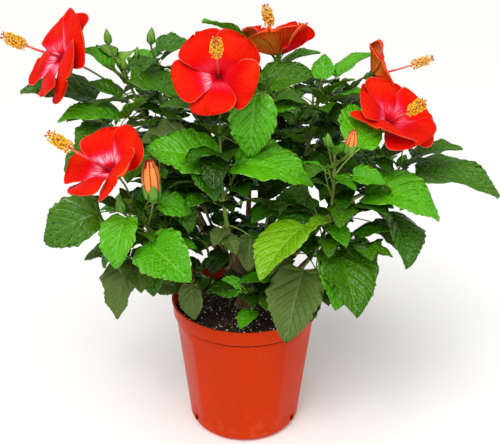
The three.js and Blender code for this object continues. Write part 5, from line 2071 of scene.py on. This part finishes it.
class SHRUB_OT_petals(bpy.types.Operator):
    """Makes each bloom's five ruffled petals"""

    bl_idname = "shrub.petals"
    bl_label = "Petals"

    def execute(self, context):
        settings = context.scene.shrub_blooms
        materials = [petal_inside(settings), petal_outside()]
        for n, bloom in enumerate(BLOOMS):
            mesh = petal_mesh(bloom, settings, materials, n + 21)
            place_piece(mesh.name, mesh, [bloom["name"]])
        return {"FINISHED"}


class SHRUB_OT_columns(bpy.types.Operator):
    """Makes the blooms' columns, with their anthers and stigmas"""

    bl_idname = "shrub.columns"
    bl_label = "Columns and anthers"

    def execute(self, context):
        settings = context.scene.shrub_blooms
        materials = plains(
            *[(f"column_{n}", code, 0.5) for n, code in enumerate(COLUMN_COLOURS)],
            ("style", 0xE2563C, 0.5), ("stigma", 0x8E0A1C, 0.6),
        )
        kinds, brushes = ("filaments", "anthers"), ([], [])
        finishes = plains(("filament", 0xF2B060, 0.6), ("anther", 0xF4BE1C, 0.75))
        heap = Heap()
        for n, bloom in enumerate(BLOOMS):
            _, _, _, curve = bloom_parts(bloom_curve(bloom), bloom)
            size = bloom["size"]
            add_column(heap, curve, lambda share: mix(*COLUMN_RADII, share) * size, 42, 10)
            add_stigmas(heap, curve, size, len(COLUMN_COLOURS))
            ground = brush_ground(curve, size)
            for kind, brush, shape, finish in zip(kinds, brushes, anther_shapes(), finishes):
                brush.append(scattered(kind, ground.copy(), shape, finish, {
                    "Per square metre": settings.anthers, "Smallest": 1.1 * size,
                    "Largest": 1.75 * size, "Tilt": 0.35, "Seed": n + 1,
                }))
            bpy.data.meshes.remove(ground)
        place_piece("columns", heap.mesh("columns", materials), [])
        for kind, brush, finish in zip(kinds, brushes, finishes):
            place_piece(kind, join_meshes(kind, brush, finish), [])
        return {"FINISHED"}


class SHRUB_OT_buds(bpy.types.Operator):
    """Makes the buds, the blooms' stalks and their green cups"""

    bl_idname = "shrub.buds"
    bl_label = "Buds and cups"

    def execute(self, context):
        curves, _, _ = grow()
        heap = Heap()
        materials = plains(
            ("flower_stalk", 0x6A7A3C, 0.5), ("sepal", 0x5E9222, 0.5), ("bract", 0x4C7E22, 0.5),
            ("rolled_petal", 0xE88C3A, 0.55), ("petal_mouth", 0xA01C10, 0.55),
        )
        for bud in BUDS:
            add_bud(heap, curves[bud["mass"]][bud["shoot"]], bud)
        for bloom in BLOOMS:
            pedicel, foot, way, _ = bloom_parts(bloom_curve(bloom), bloom)
            add_tube(heap, pedicel, lambda share: PEDICEL_RADIUS * mix(0.85, 1.15, share), 18, 8, 0)
            add_calyx(heap, foot, way, bloom["size"], 1)
        place_piece("buds_and_cups", heap.mesh("buds_and_cups", materials), [])
        return {"FINISHED"}


class SHRUB_OT_stage(bpy.types.Operator):
    """Makes the pale floor, the soft light and the camera"""

    bl_idname = "shrub.stage"
    bl_label = "Floor, light and camera"

    def execute(self, context):
        scene, settings = context.scene, context.scene.shrub_stage
        floor_mesh = bpy.data.meshes.new("floor")
        corners = [(x * FLOOR_HALF, y * FLOOR_HALF, 0) for x, y in ((-1, -1), (1, -1), (1, 1), (-1, 1))]
        floor_mesh.from_pydata(corners, [], [(0, 1, 2, 3)])
        floor_mesh.materials.append(*plains(("floor", 0xFCFBF9, 0.8)))
        floor = add_object("floor", floor_mesh)
        world = bpy.data.worlds.new("surroundings")
        world.use_nodes = True
        back = world.node_tree.nodes["Background"]
        back.inputs["Color"].default_value = (1, 1, 1, 1)
        back.inputs["Strength"].default_value = settings.sky
        scene.world = world
        scene.view_settings.view_transform = "Standard"
        for name, kind, where, power, key, value in (
            ("key", "SUN", (-0.8, -1.7, 3.0), settings.key, "angle", math.radians(50)),
            ("fill", "AREA", (1.5, -1.4, 2.0), settings.fill, "size", 2.4),
            ("window", "AREA", (-0.5, -1.3, 2.1), settings.window, "size", 0.3),
        ):
            light = bpy.data.lights.new(name, kind)
            light.energy = power
            setattr(light, key, value)
            lamp = add_object(name, light)
            lamp.location = where
            lamp.rotation_euler = (LIT_PLACE - Vector(where)).to_track_quat("-Z", "Y").to_euler()
        lens = bpy.data.cameras.new("camera")
        lens.lens, lens.sensor_width = settings.lens, SENSOR
        camera = add_object("camera", lens)
        camera.matrix_world = camera_matrix(settings.pitch)
        scene.camera = camera
        return {"FINISHED"}


SETTINGS = {
    "shrub_pot": PotSettings, "shrub_soil": SoilSettings, "shrub_wood": WoodSettings,
    "shrub_leaves": LeafSettings, "shrub_blooms": BloomSettings, "shrub_stage": StageSettings,
}
STEPS = {
    "pot": SHRUB_OT_pot, "soil": SHRUB_OT_soil, "wood": SHRUB_OT_wood, "stems": SHRUB_OT_stems,
    "leaves": SHRUB_OT_leaves, "petals": SHRUB_OT_petals, "columns": SHRUB_OT_columns,
    "buds": SHRUB_OT_buds, "stage": SHRUB_OT_stage,
}


class SHRUB_PT_panel(bpy.types.Panel):
    """Lists the steps and their settings"""

    bl_idname = "SHRUB_PT_panel"
    bl_label = "Hibiscus shrub"
    bl_space_type = "VIEW_3D"
    bl_region_type = "UI"
    bl_category = "Shrub"

    def draw(self, context):
        for name, group in SETTINGS.items():
            column = self.layout.column(align=True)
            for key in group.__annotations__:
                column.prop(getattr(context.scene, name), key)
        for step in STEPS.values():
            self.layout.operator(step.bl_idname)


def register():
    for group in (*SETTINGS.values(), *STEPS.values(), SHRUB_PT_panel):
        bpy.utils.register_class(group)
    for name, group in SETTINGS.items():
        setattr(bpy.types.Scene, name, PointerProperty(type=group))


def unregister():
    for name in SETTINGS:
        delattr(bpy.types.Scene, name)
    for group in (SHRUB_PT_panel, *reversed([*SETTINGS.values(), *STEPS.values()])):
        bpy.utils.unregister_class(group)


def main():
    register()
    for name in STEPS:
        getattr(bpy.ops.shrub, name)()


if __name__ == "__main__":
    main()
